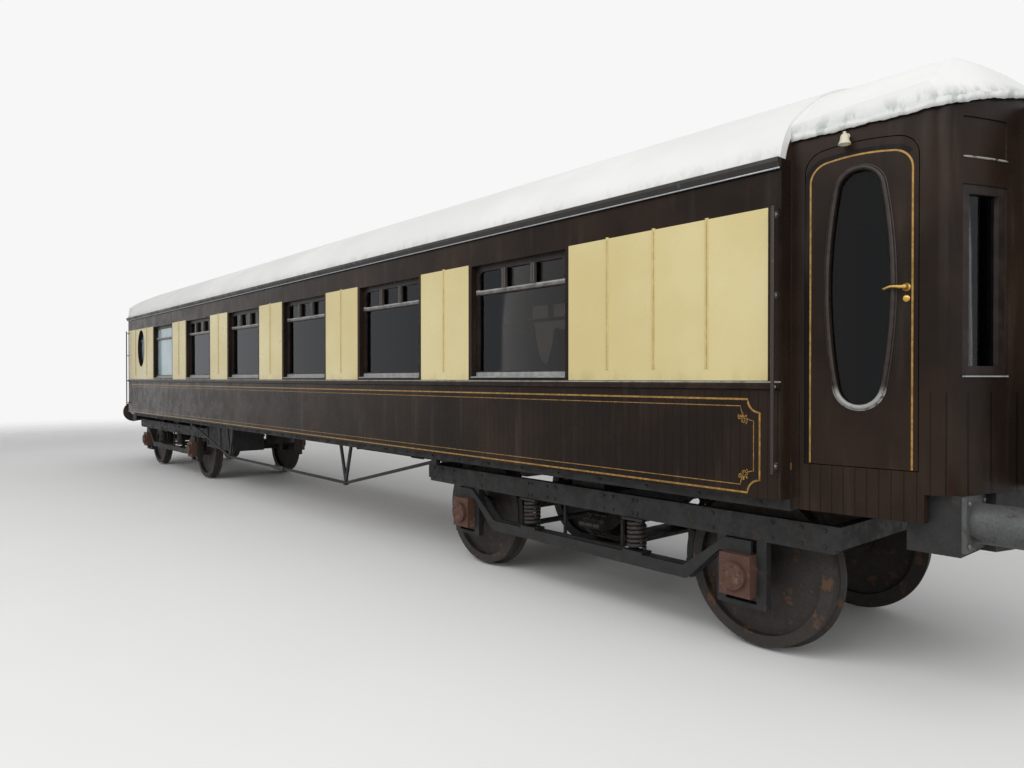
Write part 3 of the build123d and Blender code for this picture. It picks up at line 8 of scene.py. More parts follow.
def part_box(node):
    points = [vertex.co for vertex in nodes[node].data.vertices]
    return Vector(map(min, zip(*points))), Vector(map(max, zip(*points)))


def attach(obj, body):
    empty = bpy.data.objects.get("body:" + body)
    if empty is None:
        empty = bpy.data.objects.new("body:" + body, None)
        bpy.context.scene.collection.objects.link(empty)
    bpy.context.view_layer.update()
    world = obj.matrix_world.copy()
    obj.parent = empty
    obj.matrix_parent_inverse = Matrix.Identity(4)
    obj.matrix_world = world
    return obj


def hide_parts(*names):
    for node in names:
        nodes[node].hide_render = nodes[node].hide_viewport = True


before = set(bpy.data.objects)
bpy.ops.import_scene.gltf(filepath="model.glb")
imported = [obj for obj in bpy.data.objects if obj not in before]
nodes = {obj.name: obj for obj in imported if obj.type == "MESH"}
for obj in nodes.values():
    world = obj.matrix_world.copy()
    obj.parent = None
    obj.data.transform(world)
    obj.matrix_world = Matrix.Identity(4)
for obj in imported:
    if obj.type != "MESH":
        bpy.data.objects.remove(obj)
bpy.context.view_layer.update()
scene = bpy.context.scene

# Places in metres. +X runs along the coach, -Y is the photographed side, +Z is up.
side_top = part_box("body_sides")[1]
BODY_HALF_L = side_top.x
SIDE_Y = side_top.y
CANTRAIL_Z = side_top.z
HANDRAIL_Y = SIDE_Y + 0.045
BUFFER_END_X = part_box("buffer_rams")[1].x
RAIL_TOP = 0.028
WAIST_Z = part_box("mouldings")[0].z + 0.055
CREAM_FOOT = WAIST_Z + 0.004
CREAM_TOP = RAIL_TOP + 2.876
FLOOR_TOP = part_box("floor")[1].z
ROOF_EDGE_Z = RAIL_TOP + 3.449
ROOF_EDGE_DROP = 0.163
ENDS = (("front", 1), ("rear", -1))

# Side windows
WINDOW_PITCH = 2.075
WINDOW_FIRST_X = 5.265
WINDOW_XS = [WINDOW_FIRST_X - i * WINDOW_PITCH for i in range(6)]
WINDOW_HALF_W = 0.605
SILL_Z = WAIST_Z + 0.025
TRANSOM_Z = SILL_Z + 0.745
SILL_PLATE_H = 0.046
END_SILL_H = 0.006
OVAL_X = -6.65
OVAL_Z = WAIST_Z + 0.645

# Door wall: u runs along it from the body, z is up, out is away from it.
TAPER = radians(6.5)
WALL_START_Y = SIDE_Y - 0.13
DOORWAY_START_U = 0.075
DOORWAY_W = 0.622
DOOR_MID_U = DOORWAY_START_U + DOORWAY_W / 2
DOOR_GLASS_Z = FLOOR_TOP + 1.033
DOOR_GLASS_HALF = (0.165, 0.6725)
DOOR_GLASS_END_R = 0.115
HANDLE_U = DOORWAY_START_U + DOORWAY_W - 0.065
HANDLE_Z = FLOOR_TOP + 1.015
DOOR_FACE_OUT = -0.002

# Lower side boards
BOARD_PITCH = 0.064
GROOVE_W = 0.010
BOARD_TOP = WAIST_Z - 0.055


def srgb(r, g, b):
    """Linear colour of an sRGB colour given from 0 to 255."""
    parts = [v / 255 for v in (r, g, b)]
    return (*(v / 12.92 if v <= 0.04045 else ((v + 0.055) / 1.055) ** 2.4 for v in parts), 1.0)


UMBER = srgb(47, 35, 27)
UMBER_DARK = srgb(31, 23, 19)


class Nodes:
    """A node tree, built by short calls."""

    def __init__(self, tree):
        self.tree = tree

    def feed(self, socket, value):
        """Links an output to a socket, or sets the socket to a plain value."""
        if isinstance(value, bpy.types.NodeSocket):
            self.tree.links.new(value, socket)
        else:
            socket.default_value = value

    def add(self, kind, feeds=None, **settings):
        """A new node; feeds holds outputs or plain values by the name or number of an input."""
        node = self.tree.nodes.new(kind)
        for key, value in settings.items():
            setattr(node, key, value)
        for key, value in (feeds or {}).items():
            self.feed(node.inputs[key], value)
        return node

    def calc(self, kind, a, b=0.0):
        return self.add("ShaderNodeMath", {0: a, 1: b}, operation=kind).outputs[0]

    def times(self, a, b):
        return self.calc("MULTIPLY", a, b)

    def plus(self, a, b):
        return self.calc("ADD", a, b)

    def seen(self):
        """1 on rays that reach the camera straight, off a mirror or through glass."""
        rays = self.add("ShaderNodeLightPath").outputs
        bent = self.calc("MAXIMUM", rays["Is Glossy Ray"], rays["Is Transmission Ray"])
        return self.calc("MAXIMUM", rays["Is Camera Ray"], bent)


class Shader(Nodes):
    """A node material with a Principled surface."""

    def __init__(self, name):
        self.material = bpy.data.materials.new(name)
        self.material.use_nodes = True
        super().__init__(self.material.node_tree)
        self.surface = self.tree.nodes["Principled BSDF"]
        self.out = self.tree.nodes["Material Output"]

    def coords(self):
        return self.add("ShaderNodeTexCoord").outputs["Object"]

    def place(self, stretch):
        """Object coordinates, scaled by a stretch along each axis."""
        return self.add("ShaderNodeMapping", {"Vector": self.coords(), "Scale": stretch}).outputs["Vector"]

    def axis(self, name):
        return self.add("ShaderNodeSeparateXYZ", {0: self.coords()}).outputs[name]

    def noise(self, scale, detail=4.0, stretch=(1, 1, 1), rough=0.55):
        feeds = {"Vector": self.place(stretch), "Scale": scale, "Detail": detail, "Roughness": rough}
        return self.add("ShaderNodeTexNoise", feeds).outputs["Fac"]

    def steps(self, value, low, high, start=0.0, end=1.0):
        """Eases from start to end as the value goes from low to high."""
        feeds = {"Value": value, "From Min": low, "From Max": high, "To Min": start, "To Max": end}
        return self.add("ShaderNodeMapRange", feeds, interpolation_type="SMOOTHSTEP").outputs["Result"]

    def between(self, value, low, high, soft=0.002):
        """1 where the value lies between two limits, 0 outside them."""
        rise = self.steps(value, low - soft, low)
        return self.times(rise, self.steps(value, high, high + soft, 1.0, 0.0))

    def mix(self, share, a, b):
        return self.add("ShaderNodeMix", {0: share, 6: a, 7: b}, data_type="RGBA").outputs[2]

    def fade(self, value, low, high, a, b):
        """Colour that eases from a to b as the value goes from low to high."""
        return self.mix(self.steps(value, low, high), a, b)

    def grooves(self, pitch, width):
        """1 in narrow upright grooves between boards, 0 on the boards."""
        fold = self.calc("PINGPONG", self.axis("X"), pitch / 2)
        return self.steps(fold, 0.0, width / 2, 1.0, 0.0)

    def bump(self, height, distance, strength):
        feeds = {"Height": height, "Distance": distance, "Strength": strength}
        return self.add("ShaderNodeBump", feeds).outputs["Normal"]

    def finish(self, colour, rough, normal=None, **sockets):
        """Feeds the surface; the name of a further socket has _ for each space."""
        self.feed(self.surface.inputs["Base Color"], colour)
        self.feed(self.surface.inputs["Roughness"], rough)
        if normal is not None:
            self.feed(self.surface.inputs["Normal"], normal)
        for name, value in sockets.items():
            self.feed(self.surface.inputs[name.replace("_", " ")], value)
        return self.material


def gloss_paint(name, colour, dark, boards=False):
    """Old varnished coach paint: soft waves in the gloss, faint streaks, and boards if asked for."""
    s = Shader(name)
    shade = s.fade(s.noise(1.3, 5.0), 0.35, 0.7, dark, colour)
    streak = s.steps(s.noise(9.0, 3.0, (1, 1, 0.12)), 0.5, 0.85)
    shade = s.mix(s.times(streak, 0.12), shade, srgb(120, 110, 98))
    gloss = s.steps(s.noise(5.0, 3.0), 0.3, 0.75, 0.22, 0.38)
    height = s.times(s.noise(2.2, 2.0, (1, 1, 0.35)), 0.35)
    if boards:
        below = s.steps(s.axis("Z"), BOARD_TOP - 0.005, BOARD_TOP, 1.0, 0.0)
        groove = s.times(s.grooves(BOARD_PITCH, GROOVE_W), below)
        shade = s.mix(s.times(groove, 0.85), shade, srgb(14, 11, 10))
        height = s.calc("SUBTRACT", height, s.times(groove, 0.6))
    return s.finish(shade, gloss, s.bump(height, 0.003, 0.3), Specular_IOR_Level=0.10)


def cream_paint():
    """Cream paint with a little grime over the waist rail."""
    s = Shader("cream_paint")
    shade = s.fade(s.noise(0.9, 4.0), 0.3, 0.75, srgb(205, 188, 130), srgb(218, 205, 154))
    low = s.steps(s.axis("Z"), WAIST_Z, WAIST_Z + 0.25, 1.0, 0.0)
    grime = s.times(s.noise(6.0, 5.0, (1, 1, 0.25)), low)
    shade = s.mix(s.steps(grime, 0.35, 0.8, 0.0, 0.45), shade, srgb(150, 136, 98))
    gloss = s.steps(s.noise(4.0, 2.0), 0.3, 0.7, 0.26, 0.4)
    height = s.noise(1.6, 2.0, (1, 1, 0.4))
    return s.finish(shade, gloss, s.bump(height, 0.003, 0.35), Coat_Weight=0.2, Coat_Roughness=0.15)


def moulding_paint():
    """Cream on the upright beads, brown on the waist rail, with dust along its upper edge."""
    s = Shader("moulding_paint")
    z = s.axis("Z")
    wear = s.noise(14.0, 5.0)
    brown = s.fade(wear, 0.4, 0.7, UMBER_DARK, UMBER)
    dusty = s.mix(s.steps(wear, 0.3, 0.55, 0.55, 1.0), brown, srgb(158, 156, 148))
    brown = s.mix(s.between(z, WAIST_Z - 0.007, CREAM_FOOT), brown, dusty)
    cream = s.fade(wear, 0.35, 0.7, srgb(198, 181, 126), srgb(208, 192, 140))
    shade = s.fade(z, CREAM_FOOT, CREAM_FOOT + 0.004, brown, cream)
    return s.finish(shade, 0.34, s.bump(wear, 0.001, 0.4), Specular_IOR_Level=0.12)


def gold_paint():
    s = Shader("gold_lining")
    wear = s.noise(30.0, 4.0)
    shade = s.fade(wear, 0.35, 0.65, srgb(128, 92, 35), srgb(162, 123, 54))
    return s.finish(shade, s.steps(wear, 0.3, 0.7, 0.3, 0.45), s.bump(wear, 0.0005, 0.3), Metallic=0.2)


def canvas(name, dirt, edge_z, edge_drop, crease=0.003):
    """Painted roof canvas: off-white, with grey-green dirt that gathers at the lower edge."""
    s = Shader(name)
    spots = s.noise(7.0, 6.0, rough=0.7)
    shade = s.fade(s.noise(0.7, 6.0), 0.35, 0.7, srgb(224, 224, 222), srgb(236, 235, 233))
    across = s.calc("DIVIDE", s.axis("Y"), WALL_START_Y)
    fall = s.times(s.times(across, across), edge_drop)
    height = s.calc("SUBTRACT", s.plus(s.axis("Z"), fall), edge_z)
    low = s.steps(s.plus(height, s.times(spots, -0.12)), -0.06, 0.045, 1.0, 0.0)
    shade = s.mix(s.times(low, 0.5 * dirt), shade, srgb(176, 182, 174))
    streaks = s.steps(s.noise(11.0, 5.0, (1, 1, 0.5), 0.65), 0.48, 0.6)
    stained = s.times(streaks, s.steps(height, 0.0, 0.12, 0.75 * dirt, 0.0))
    shade = s.mix(stained, shade, srgb(134, 146, 138))
    shade = s.mix(s.steps(spots, 0.62, 0.8, 0.0, 0.3 * dirt), shade, srgb(150, 155, 146))
    rumple = s.plus(s.noise(5.0, 5.0), s.times(s.noise(160.0, 2.0), 0.05))
    return s.finish(shade, 0.6, s.bump(rumple, crease, 0.5))


def worn_metal(name, colour, worn, rough=0.4, metallic=0.0, scale=9.0, wear_from=0.55):
    """Painted or bare metal with blotches where the paint has gone and a fine rough surface."""
    s = Shader(name)
    blotch = s.noise(scale, 8.0, rough=0.65)
    fine = s.noise(scale * 8, 4.0)
    dim = (*(c * 0.55 for c in colour[:3]), 1.0)
    shade = s.mix(s.steps(fine, 0.35, 0.7, 0.0, 0.5), colour, dim)
    shade = s.fade(blotch, wear_from, wear_from + 0.12, shade, worn)
    gloss = s.steps(blotch, 0.35, 0.75, rough, min(rough + 0.35, 0.95))
    height = s.plus(blotch, s.times(fine, 0.3))
    return s.finish(shade, gloss, s.bump(height, 0.002, 0.6), Metallic=metallic)


def glass(name, tint, index):
    """Window glass: a tinted clear pane that also mirrors, with the slow ripple of drawn sheet."""
    s = Shader(name)
    normal = s.bump(s.noise(1.7, 1.0), 0.0006, 0.6)
    sheen = {"Color": (0.92, 0.95, 1.0, 1.0), "Roughness": 0.02, "Normal": normal}
    through = s.add("ShaderNodeBsdfTransparent", {"Color": tint}).outputs[0]
    mirror = s.add("ShaderNodeBsdfGlossy", sheen).outputs[0]
    rim = s.add("ShaderNodeFresnel", {"IOR": index, "Normal": normal}).outputs[0]
    blend = s.add("ShaderNodeMixShader", {0: rim, 1: through, 2: mirror})
    s.feed(s.out.inputs["Surface"], blend.outputs[0])
    return s.material


def frosted_glass():
    s = Shader("frosted_glass")
    shade = s.fade(s.noise(1.2, 3.0), 0.3, 0.7, srgb(132, 158, 166), srgb(166, 190, 196))
    grain = s.bump(s.noise(140.0, 3.0), 0.0006, 0.4)
    return s.finish(shade, 0.32, grain, Coat_Weight=0.6, Coat_Roughness=0.05)


def frame_paint():
    """Dark frames: at the sides pale grey sill plates and dull transoms, with a painted highlight in the same
    pale grey along each transom's upper edge; pale sill lips at the ends.
    """
    s = Shader("window_frame_paint")
    z = s.axis("Z")
    wear = s.noise(11.0, 6.0)
    brown = s.fade(wear, 0.35, 0.7, srgb(27, 21, 19), srgb(44, 36, 32))
    grey = s.fade(wear, 0.35, 0.7, srgb(136, 137, 136), srgb(162, 163, 162))
    dull = s.fade(wear, 0.35, 0.7, srgb(84, 80, 77), srgb(122, 118, 114))
    body = s.steps(s.axis("X"), BODY_HALF_L, BODY_HALF_L + 0.01, 1.0, 0.0)
    sill = s.times(s.between(z, 0.0, SILL_Z + SILL_PLATE_H, 0.004), body)
    bar = s.between(z, TRANSOM_Z + 0.012, TRANSOM_Z + 0.04, 0.004)
    # Painted highlight: pale grey band along the upper edge of each side transom
    transom_highlight = s.between(z, TRANSOM_Z + 0.033, TRANSOM_Z + 0.05, 0.002)
    lip = s.between(z, 0.0, SILL_Z + END_SILL_H, 0.003)
    lip = s.times(lip, s.calc("SUBTRACT", 1.0, body))
    shade = s.mix(s.times(bar, body), brown, dull)
    shade = s.mix(s.times(transom_highlight, body), shade, grey)
    shade = s.mix(s.calc("MAXIMUM", sill, lip), shade, grey)
    return s.finish(shade, 0.4, s.bump(wear, 0.001, 0.4), Specular_IOR_Level=0.25)


def wood(name, dark, light, rough=0.3, coat=0.3, walls=False):
    """Wood; on walls, the bulkhead edges that show beside the vestibules are painted."""
    s = Shader(name)
    grain = s.noise(4.0, 8.0, (6.0, 6.0, 0.6), 0.65)
    shade = s.fade(grain, 0.35, 0.65, dark, light)
    if walls:
        across = s.calc("ABSOLUTE", s.axis("Y"))
        shade = s.fade(across, WALL_START_Y - 0.003, WALL_START_Y - 0.001, shade, UMBER)
    return s.finish(shade, rough, s.bump(grain, 0.0012, 0.3), Coat_Weight=coat)


def cloth(name, dark, light, weave=420.0, sheen=0.25):
    s = Shader(name)
    thread = s.noise(weave, 2.0)
    cloud = s.noise(6.0, 4.0)
    shade = s.fade(cloud, 0.3, 0.7, dark, light)
    shade = s.mix(s.steps(thread, 0.35, 0.65, 0.0, 0.35), shade, dark)
    height = s.plus(s.times(thread, 0.3), cloud)
    return s.finish(shade, 0.85, s.bump(height, 0.002, 0.5), Sheen_Weight=sheen)


def ring_paint():
    """Brown moulding round the door glass, rubbed to bare metal along its lowest stretch."""
    s = Shader("door_ring_paint")
    wear = s.noise(24.0, 6.0)
    foot = DOOR_GLASS_Z - DOOR_GLASS_HALF[1]
    brown = s.fade(wear, 0.35, 0.7, srgb(38, 30, 26), srgb(52, 43, 38))
    low = s.steps(s.axis("Z"), foot + 0.05, foot + 0.12, 1.0, 0.0)
    shade = s.mix(s.times(low, s.steps(wear, 0.34, 0.44)), brown, srgb(150, 151, 147))
    return s.finish(shade, 0.32, s.bump(wear, 0.0008, 0.4), Specular_IOR_Level=0.3)


def ram_paint():
    """Buffer rams with red paint rubbed off in patches; their heads are dark greasy iron."""
    s = Shader("buffer_ram_paint")
    blotch = s.noise(5.0, 7.0, rough=0.65)
    bare = s.fade(s.noise(60.0, 4.0), 0.35, 0.7, srgb(118, 118, 110), srgb(146, 145, 136))
    shade = s.fade(blotch, 0.48, 0.54, bare, srgb(138, 72, 68))
    iron = s.fade(blotch, 0.4, 0.65, srgb(44, 42, 41), srgb(70, 62, 56))
    along = s.calc("ABSOLUTE", s.axis("X"))
    shade = s.fade(along, BUFFER_END_X - 0.034, BUFFER_END_X - 0.030, shade, iron)
    return s.finish(shade, 0.42, s.bump(blotch, 0.0015, 0.5), Metallic=0.2)


def handrail_paint():
    """Brown rails whose brackets have worn pale."""
    s = Shader("handrail_paint")
    wear = s.noise(30.0, 6.0)
    across = s.calc("ABSOLUTE", s.axis("Y"))
    arms = s.between(across, SIDE_Y + 0.010, HANDRAIL_Y - 0.013, 0.003)
    pale = s.calc("MAXIMUM", s.times(arms, s.steps(wear, 0.3, 0.4)), s.steps(wear, 0.66, 0.74))
    shade = s.mix(pale, srgb(44, 36, 32), srgb(168, 164, 156))
    return s.finish(shade, 0.3, s.bump(wear, 0.0006, 0.4), Metallic=0.15)


paint = {
    "umber": gloss_paint("umber_paint", UMBER, UMBER_DARK),
    "umber_boards": gloss_paint("umber_boards", UMBER, UMBER_DARK, boards=True),
    "cream": cream_paint(),
    "moulding": moulding_paint(),
    "gold": gold_paint(),
    # Near-black paint for the painted shadow that the doorway's reveal casts on each door
    "rebate_shadow": gloss_paint("rebate_shadow_paint", srgb(17, 13, 11), srgb(12, 9, 8)),
    "bar": worn_metal("toplight_bar_paint", srgb(70, 65, 60), srgb(98, 94, 90), 0.4, 0.0, 12.0, 0.6),
    "roof": canvas("roof_canvas", 0.3, CANTRAIL_Z, 0.0),
    "roof_end": canvas("roof_end_canvas", 0.95, ROOF_EDGE_Z, ROOF_EDGE_DROP, 0.006),
    "hem": canvas("hem_canvas", 0.6, ROOF_EDGE_Z + 0.05, ROOF_EDGE_DROP, 0.006),
    "gutter": worn_metal("gutter_paint", srgb(40, 35, 34), srgb(96, 96, 98), 0.35, 0.1, 9.0, 0.62),
    "gutter_lip": worn_metal("gutter_lip_metal", srgb(176, 180, 184), srgb(96, 94, 92), 0.3, 0.5, 14.0, 0.62),
    "glass": glass("window_glass", (0.41, 0.39, 0.365, 1.0), 1.30),
    "door_glass": glass("door_glass", (0.38, 0.37, 0.35, 1.0), 1.28),
    "frosted": frosted_glass(),
    "frame": frame_paint(),
    "ring": ring_paint(),
    "brass": worn_metal("aged_brass", srgb(196, 160, 84), srgb(128, 96, 48), 0.25, 0.9, 22.0, 0.6),
    "handrail": handrail_paint(),
    "iron": worn_metal("black_iron", srgb(27, 26, 26), srgb(54, 47, 42), 0.55, 0.1),
    "wheel": worn_metal("wheel_iron", srgb(48, 43, 40), srgb(92, 68, 52), 0.55, 0.2),
    "axle": worn_metal("axle_iron", srgb(44, 41, 40), srgb(84, 66, 54), 0.5, 0.3),
    "axlebox": worn_metal("axlebox_iron", srgb(84, 56, 44), srgb(122, 96, 78), 0.6, 0.1),
    "spring": worn_metal("spring_steel", srgb(52, 48, 46), srgb(96, 76, 60), 0.5, 0.4),
    "buffer": worn_metal("buffer_grey", srgb(78, 79, 79), srgb(60, 48, 42), 0.5, 0.1),
    "ram": ram_paint(),
    "bolt": worn_metal("bolt_metal", srgb(112, 110, 106), srgb(70, 62, 56), 0.4, 0.4, 30.0),
    "bell": worn_metal("lamp_shell", srgb(214, 208, 184), srgb(150, 138, 104), 0.3, 0.0, 40.0, 0.6),
    "panelling": wood("interior_panelling", srgb(58, 32, 18), srgb(108, 62, 32), 0.3, 0.2, walls=True),
    "floor": wood("floor_boards", srgb(66, 50, 36), srgb(112, 88, 62), 0.6),
    "seat_wood": wood("seat_wood", srgb(52, 28, 16), srgb(96, 56, 30)),
    "bead_line": worn_metal("bead_lining", srgb(150, 106, 56), srgb(188, 150, 90), 0.4, 0.0, 20.0, 0.5),
    # Ledge paint: pale worn patches that also stand for the painted highlight along the ledge
    "ledge": worn_metal("ledge_wear_and_highlight", UMBER, srgb(150, 146, 140), 0.35, 0.0, 14.0, 0.38),
    "upholstery": cloth("seat_cloth", srgb(92, 32, 30), srgb(128, 48, 42)),
    "gangway": cloth("gangway_cloth", srgb(22, 22, 23), srgb(44, 43, 42), 260.0, 0.15),
}

# Paint of a CAD node: of the first of these beginnings that fits its name, else black iron
node_paint = {
    "body_sides": "umber_boards",
    "vestibule_sides": "umber_boards",
    "end_walls": "umber_boards",
    "mouldings": "moulding",
    "roof_ends": "roof_end",
    "roof": "roof",
    "gutters": "gutter",
    "window_glass": "glass",
    "frosted_glass": "frosted",
    "window_frames": "frame",
    "handrails": "handrail",
    "partitions": "panelling",
    "floor": "floor",
    "seats": "upholstery",
    "gangway_bellows": "gangway",
    "buffer_sockets": "buffer",
    "buffer_rams": "ram",
    "door_hinges": "brass",
    "door_lamps": "bell",
    "door_glass_": "door_glass",
    "door_fittings_": "brass",
    "door_": "umber",
    "axleboxes_": "axlebox",
    "axle_": "axle",
    "wheels_": "wheel",
    "bogie_springs_": "spring",
}
for node_name, node in nodes.items():
    look = next((look for start, look in node_paint.items() if node_name.startswith(start)), "iron")
    node.data.materials.clear()
    node.data.materials.append(paint[look])


# Making pieces. A part is (points, faces).
def mesh_of(name, points, faces):
    mesh = bpy.data.meshes.new(name)
    mesh.from_pydata([tuple(p) for p in points], [], faces)
    mesh.update()
    return mesh


def placed(name, data):
    """A new object in the scene."""
    made = bpy.data.objects.new(name, data)
    scene.collection.objects.link(made)
    return made


def worked_out(thing):
    """Mesh of an object after its modifiers, or of a curve."""
    graph = bpy.context.evaluated_depsgraph_get()
    graph.update()
    return bpy.data.meshes.new_from_object(thing.evaluated_get(graph))


def piece(name, parts, look, body, smooth=False):
    """One object of several parts, in one paint, that rides on a body."""
    points, faces = [], []
    for part_points, part_faces in parts:
        start = len(points)
        points.extend(part_points)
        faces.extend(tuple(i + start for i in face) for face in part_faces)
    made = placed(name, mesh_of(name, points, faces))
    made.data.materials.append(paint[look])
    for polygon in made.data.polygons:
        polygon.use_smooth = smooth
    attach(made, body)
    return made


def posed(part, matrix):
    """A part moved by a matrix, with its faces turned to match if the matrix mirrors it."""
    points, faces = part
    if matrix.determinant() < 0:
        faces = [tuple(reversed(face)) for face in faces]
    return [matrix @ p for p in points], faces


def mirrored(parts, end, side):
    """Parts of the near side of the front end, taken to the other end or side by a -1 for it."""
    return [posed(part, Matrix.Diagonal((end, side, 1, 1))) for part in parts]


def two_sides(parts):
    return mirrored(parts, 1, 1) + mirrored(parts, 1, -1)


def four_ways(parts):
    return two_sides(parts) + two_sides(mirrored(parts, -1, 1))


def on_wall(u, z, out=0.0):
    """Point of the near door wall at the front end."""
    x = BODY_HALF_L + u * cos(TAPER) + out * sin(TAPER)
    y = -WALL_START_Y + u * sin(TAPER) - out * cos(TAPER)
    return Vector((x, y, z))


def on_side(x, z, out=0.0):
    return Vector((x, -SIDE_Y - out, z))


def heading(path, i, closed):
    """Direction of a path at its point i."""
    before = path[i - 1] if i > 0 or closed else path[i]
    after = path[(i + 1) % len(path)] if i < len(path) - 1 or closed else path[i]
    return (Vector(after) - Vector(before)).normalized()


def square_to(axis):
    """A unit vector at right angles to an axis."""
    guide = Vector((0, 0, 1)) if abs(axis.z) < 0.9 else Vector((1, 0, 0))
    return axis.cross(guide).normalized()


def circle(centre, a, b, radius, count):
    """Points round a centre in the plane of two unit vectors."""
    turns = [2 * pi * k / count for k in range(count)]
    return [centre + a * (radius * cos(turn)) + b * (radius * sin(turn)) for turn in turns]


def tube(rings, closed=False):
    """A skin over rings of points, clockwise as seen along the tube, with flat ends unless closed."""
    count, ring = len(rings), len(rings[0])
    faces = []
    for i in range(count if closed else count - 1):
        j = (i + 1) % count
        for k in range(ring):
            m = (k + 1) % ring
            faces.append((i * ring + k, i * ring + m, j * ring + m, j * ring + k))
    if not closed:
        faces.append(tuple(reversed(range(ring))))
        faces.append(tuple((count - 1) * ring + k for k in range(ring)))
    return [p for points in rings for p in points], faces


def ribbon(path, width, thick, surface, closed=False):
    """A flat band that follows a path of (u, z) on a surface, standing out by its thickness."""
    rings = []
    for i, (u, z) in enumerate(path):
        way = heading(path, i, closed)
        across = Vector((-way.y, way.x)) * (width / 2)
        corners = ((1, 0.0), (1, thick), (-1, thick), (-1, 0.0))
        rings.append([surface(u + side * across.x, z + side * across.y, out) for side, out in corners])
    return tube(rings, closed)


def arc(centre, radius, start, end, count):
    """Points of an arc in degrees; radius may be one number or a pair."""
    rx, rz = radius if isinstance(radius, tuple) else (radius, radius)
    turns = [radians(start + (end - start) * i / count) for i in range(count + 1)]
    return [(centre[0] + rx * cos(turn), centre[1] + rz * sin(turn)) for turn in turns]


def sweep(path, radius, ring=10, closed=False):
    """A round bar along a path of points; radius may be a number or a list."""
    rings = []
    for i, p in enumerate(path):
        way = heading(path, i, closed)
        a = (a - way * a.dot(way)).normalized() if rings else square_to(way)
        r = radius[i] if isinstance(radius, list) else radius
        rings.append(circle(Vector(p), a, way.cross(a), r, ring))
    return tube(rings, closed)


def turned(profile, centre, axis, ring=16):
    """A turned form: profile is (along, radius) from a centre along an axis."""
    axis = Vector(axis).normalized()
    a = square_to(axis)
    b = axis.cross(a)
    return tube([circle(Vector(centre) + axis * along, a, b, radius, ring) for along, radius in profile])


def dome_bolt(centre, axis, radius):
    profile = ((0.0, 1.0), (0.35, 1.0), (0.6, 0.75), (0.75, 0.3))
    return turned([(along * radius, share * radius) for along, share in profile], centre, axis, 8)


def block(x0, x1, y0, y1, z0, z1):
    points = [Vector((x, y, z)) for x in (x0, x1) for y in (y0, y1) for z in (z0, z1)]
    faces = [(0, 1, 3, 2), (4, 6, 7, 5), (0, 4, 5, 1), (2, 3, 7, 6), (0, 2, 6, 4), (1, 5, 7, 3)]
    return points, faces


# Cream panels between the windows, with a hole for the oval one
PANEL_EDGE = 0.042
PANEL_OUT = 0.003
PANEL_LIFT = 0.0002
PANEL_END_X = 7.615
OVAL_HOLE = (0.262, 0.382)


def flat_panels(name, outlines, thick):
    """Flat plates from outlines of (u, z), where one outline inside another is a hole."""
    curve = bpy.data.curves.new(name, "CURVE")
    curve.dimensions = "2D"
    curve.fill_mode = "BOTH"
    curve.extrude = thick / 2
    for outline in outlines:
        spline = curve.splines.new("POLY")
        spline.points.add(len(outline) - 1)
        for point, (u, z) in zip(spline.points, outline):
            point.co = (u, z, 0, 1)
        spline.use_cyclic_u = True
    holder = placed(name, curve)
    mesh = worked_out(holder)
    bpy.data.objects.remove(holder)
    return [v.co.copy() for v in mesh.vertices], [tuple(reversed(p.vertices)) for p in mesh.polygons]


panel_edges = [PANEL_END_X]
for x in WINDOW_XS:
    panel_edges += [x + WINDOW_HALF_W + PANEL_EDGE, x - WINDOW_HALF_W - PANEL_EDGE]
panel_edges.append(-PANEL_END_X)
outlines = [
    [(x0, CREAM_FOOT), (x1, CREAM_FOOT), (x1, CREAM_TOP), (x0, CREAM_TOP)]
    for x0, x1 in zip(panel_edges[1::2], panel_edges[::2])
]
outlines.append(arc((OVAL_X, OVAL_Z), OVAL_HOLE, 0, 352.5, 47))
flat_points, flat_faces = flat_panels("cream", outlines, PANEL_OUT)
near_panels = ([on_side(p.x, p.y, PANEL_OUT / 2 - p.z + PANEL_LIFT) for p in flat_points], flat_faces)
piece("cream_panels", two_sides([near_panels]), "cream", "coach")

# Lines along the beads on the cream panels
BEAD_OUT = 0.013
BEAD_HALF_W = 0.015
BEAD_LINE_SIDE = 0.005
BEAD_LINE_W = 0.0045
BEAD_LINE_T = 0.001
BEAD_FOOT = WAIST_Z + 0.09
BEAD_TOP = CREAM_TOP - 0.012
bead_xs = [BODY_HALF_L - 1.385, BODY_HALF_L - 0.955, BODY_HALF_L - 0.52, OVAL_X - 0.43, OVAL_X + 0.43]
bead_xs += [(a + b) / 2 for a, b in zip(WINDOW_XS, WINDOW_XS[1:])]


def bead_face(x, z, out=0.0):
    """Point on the flank of a bead, a little to the side of its crest."""
    return on_side(x, z, out + BEAD_OUT * (1 - (BEAD_LINE_SIDE / BEAD_HALF_W) ** 2))


bead_lines = []
for x in bead_xs:
    path = [(x + BEAD_LINE_SIDE, BEAD_FOOT), (x + BEAD_LINE_SIDE, BEAD_TOP)]
    bead_lines.append(ribbon(path, BEAD_LINE_W, BEAD_LINE_T, bead_face))
piece("bead_lining", two_sides(bead_lines), "bead_line", "coach")

# Gold lining on the lower side: a thick and a thin line, each by half length, foot, top, notch and width
LINE_T = 0.0012
SIDE_LINES = ((7.561, 1.162, 1.742, 0.082, 0.012), (7.52, 1.208, 1.699, 0.09, 0.005))
# Leaf scrolls in its corners by place and way up; their curls by place and size, leaves by tilt and reach
SCROLLS = ((7.452, 1.609, 1), (7.458, 1.284, -1))
SCROLL_CURLS = ((0.0, 0.0, 0.026), (-0.028, 0.018, 0.017))
SCROLL_LEAVES = ((100, 0.046), (140, 0.052), (60, 0.04))
SCROLL_STEM_W = 0.0055
SCROLL_LEAF_W = 0.011


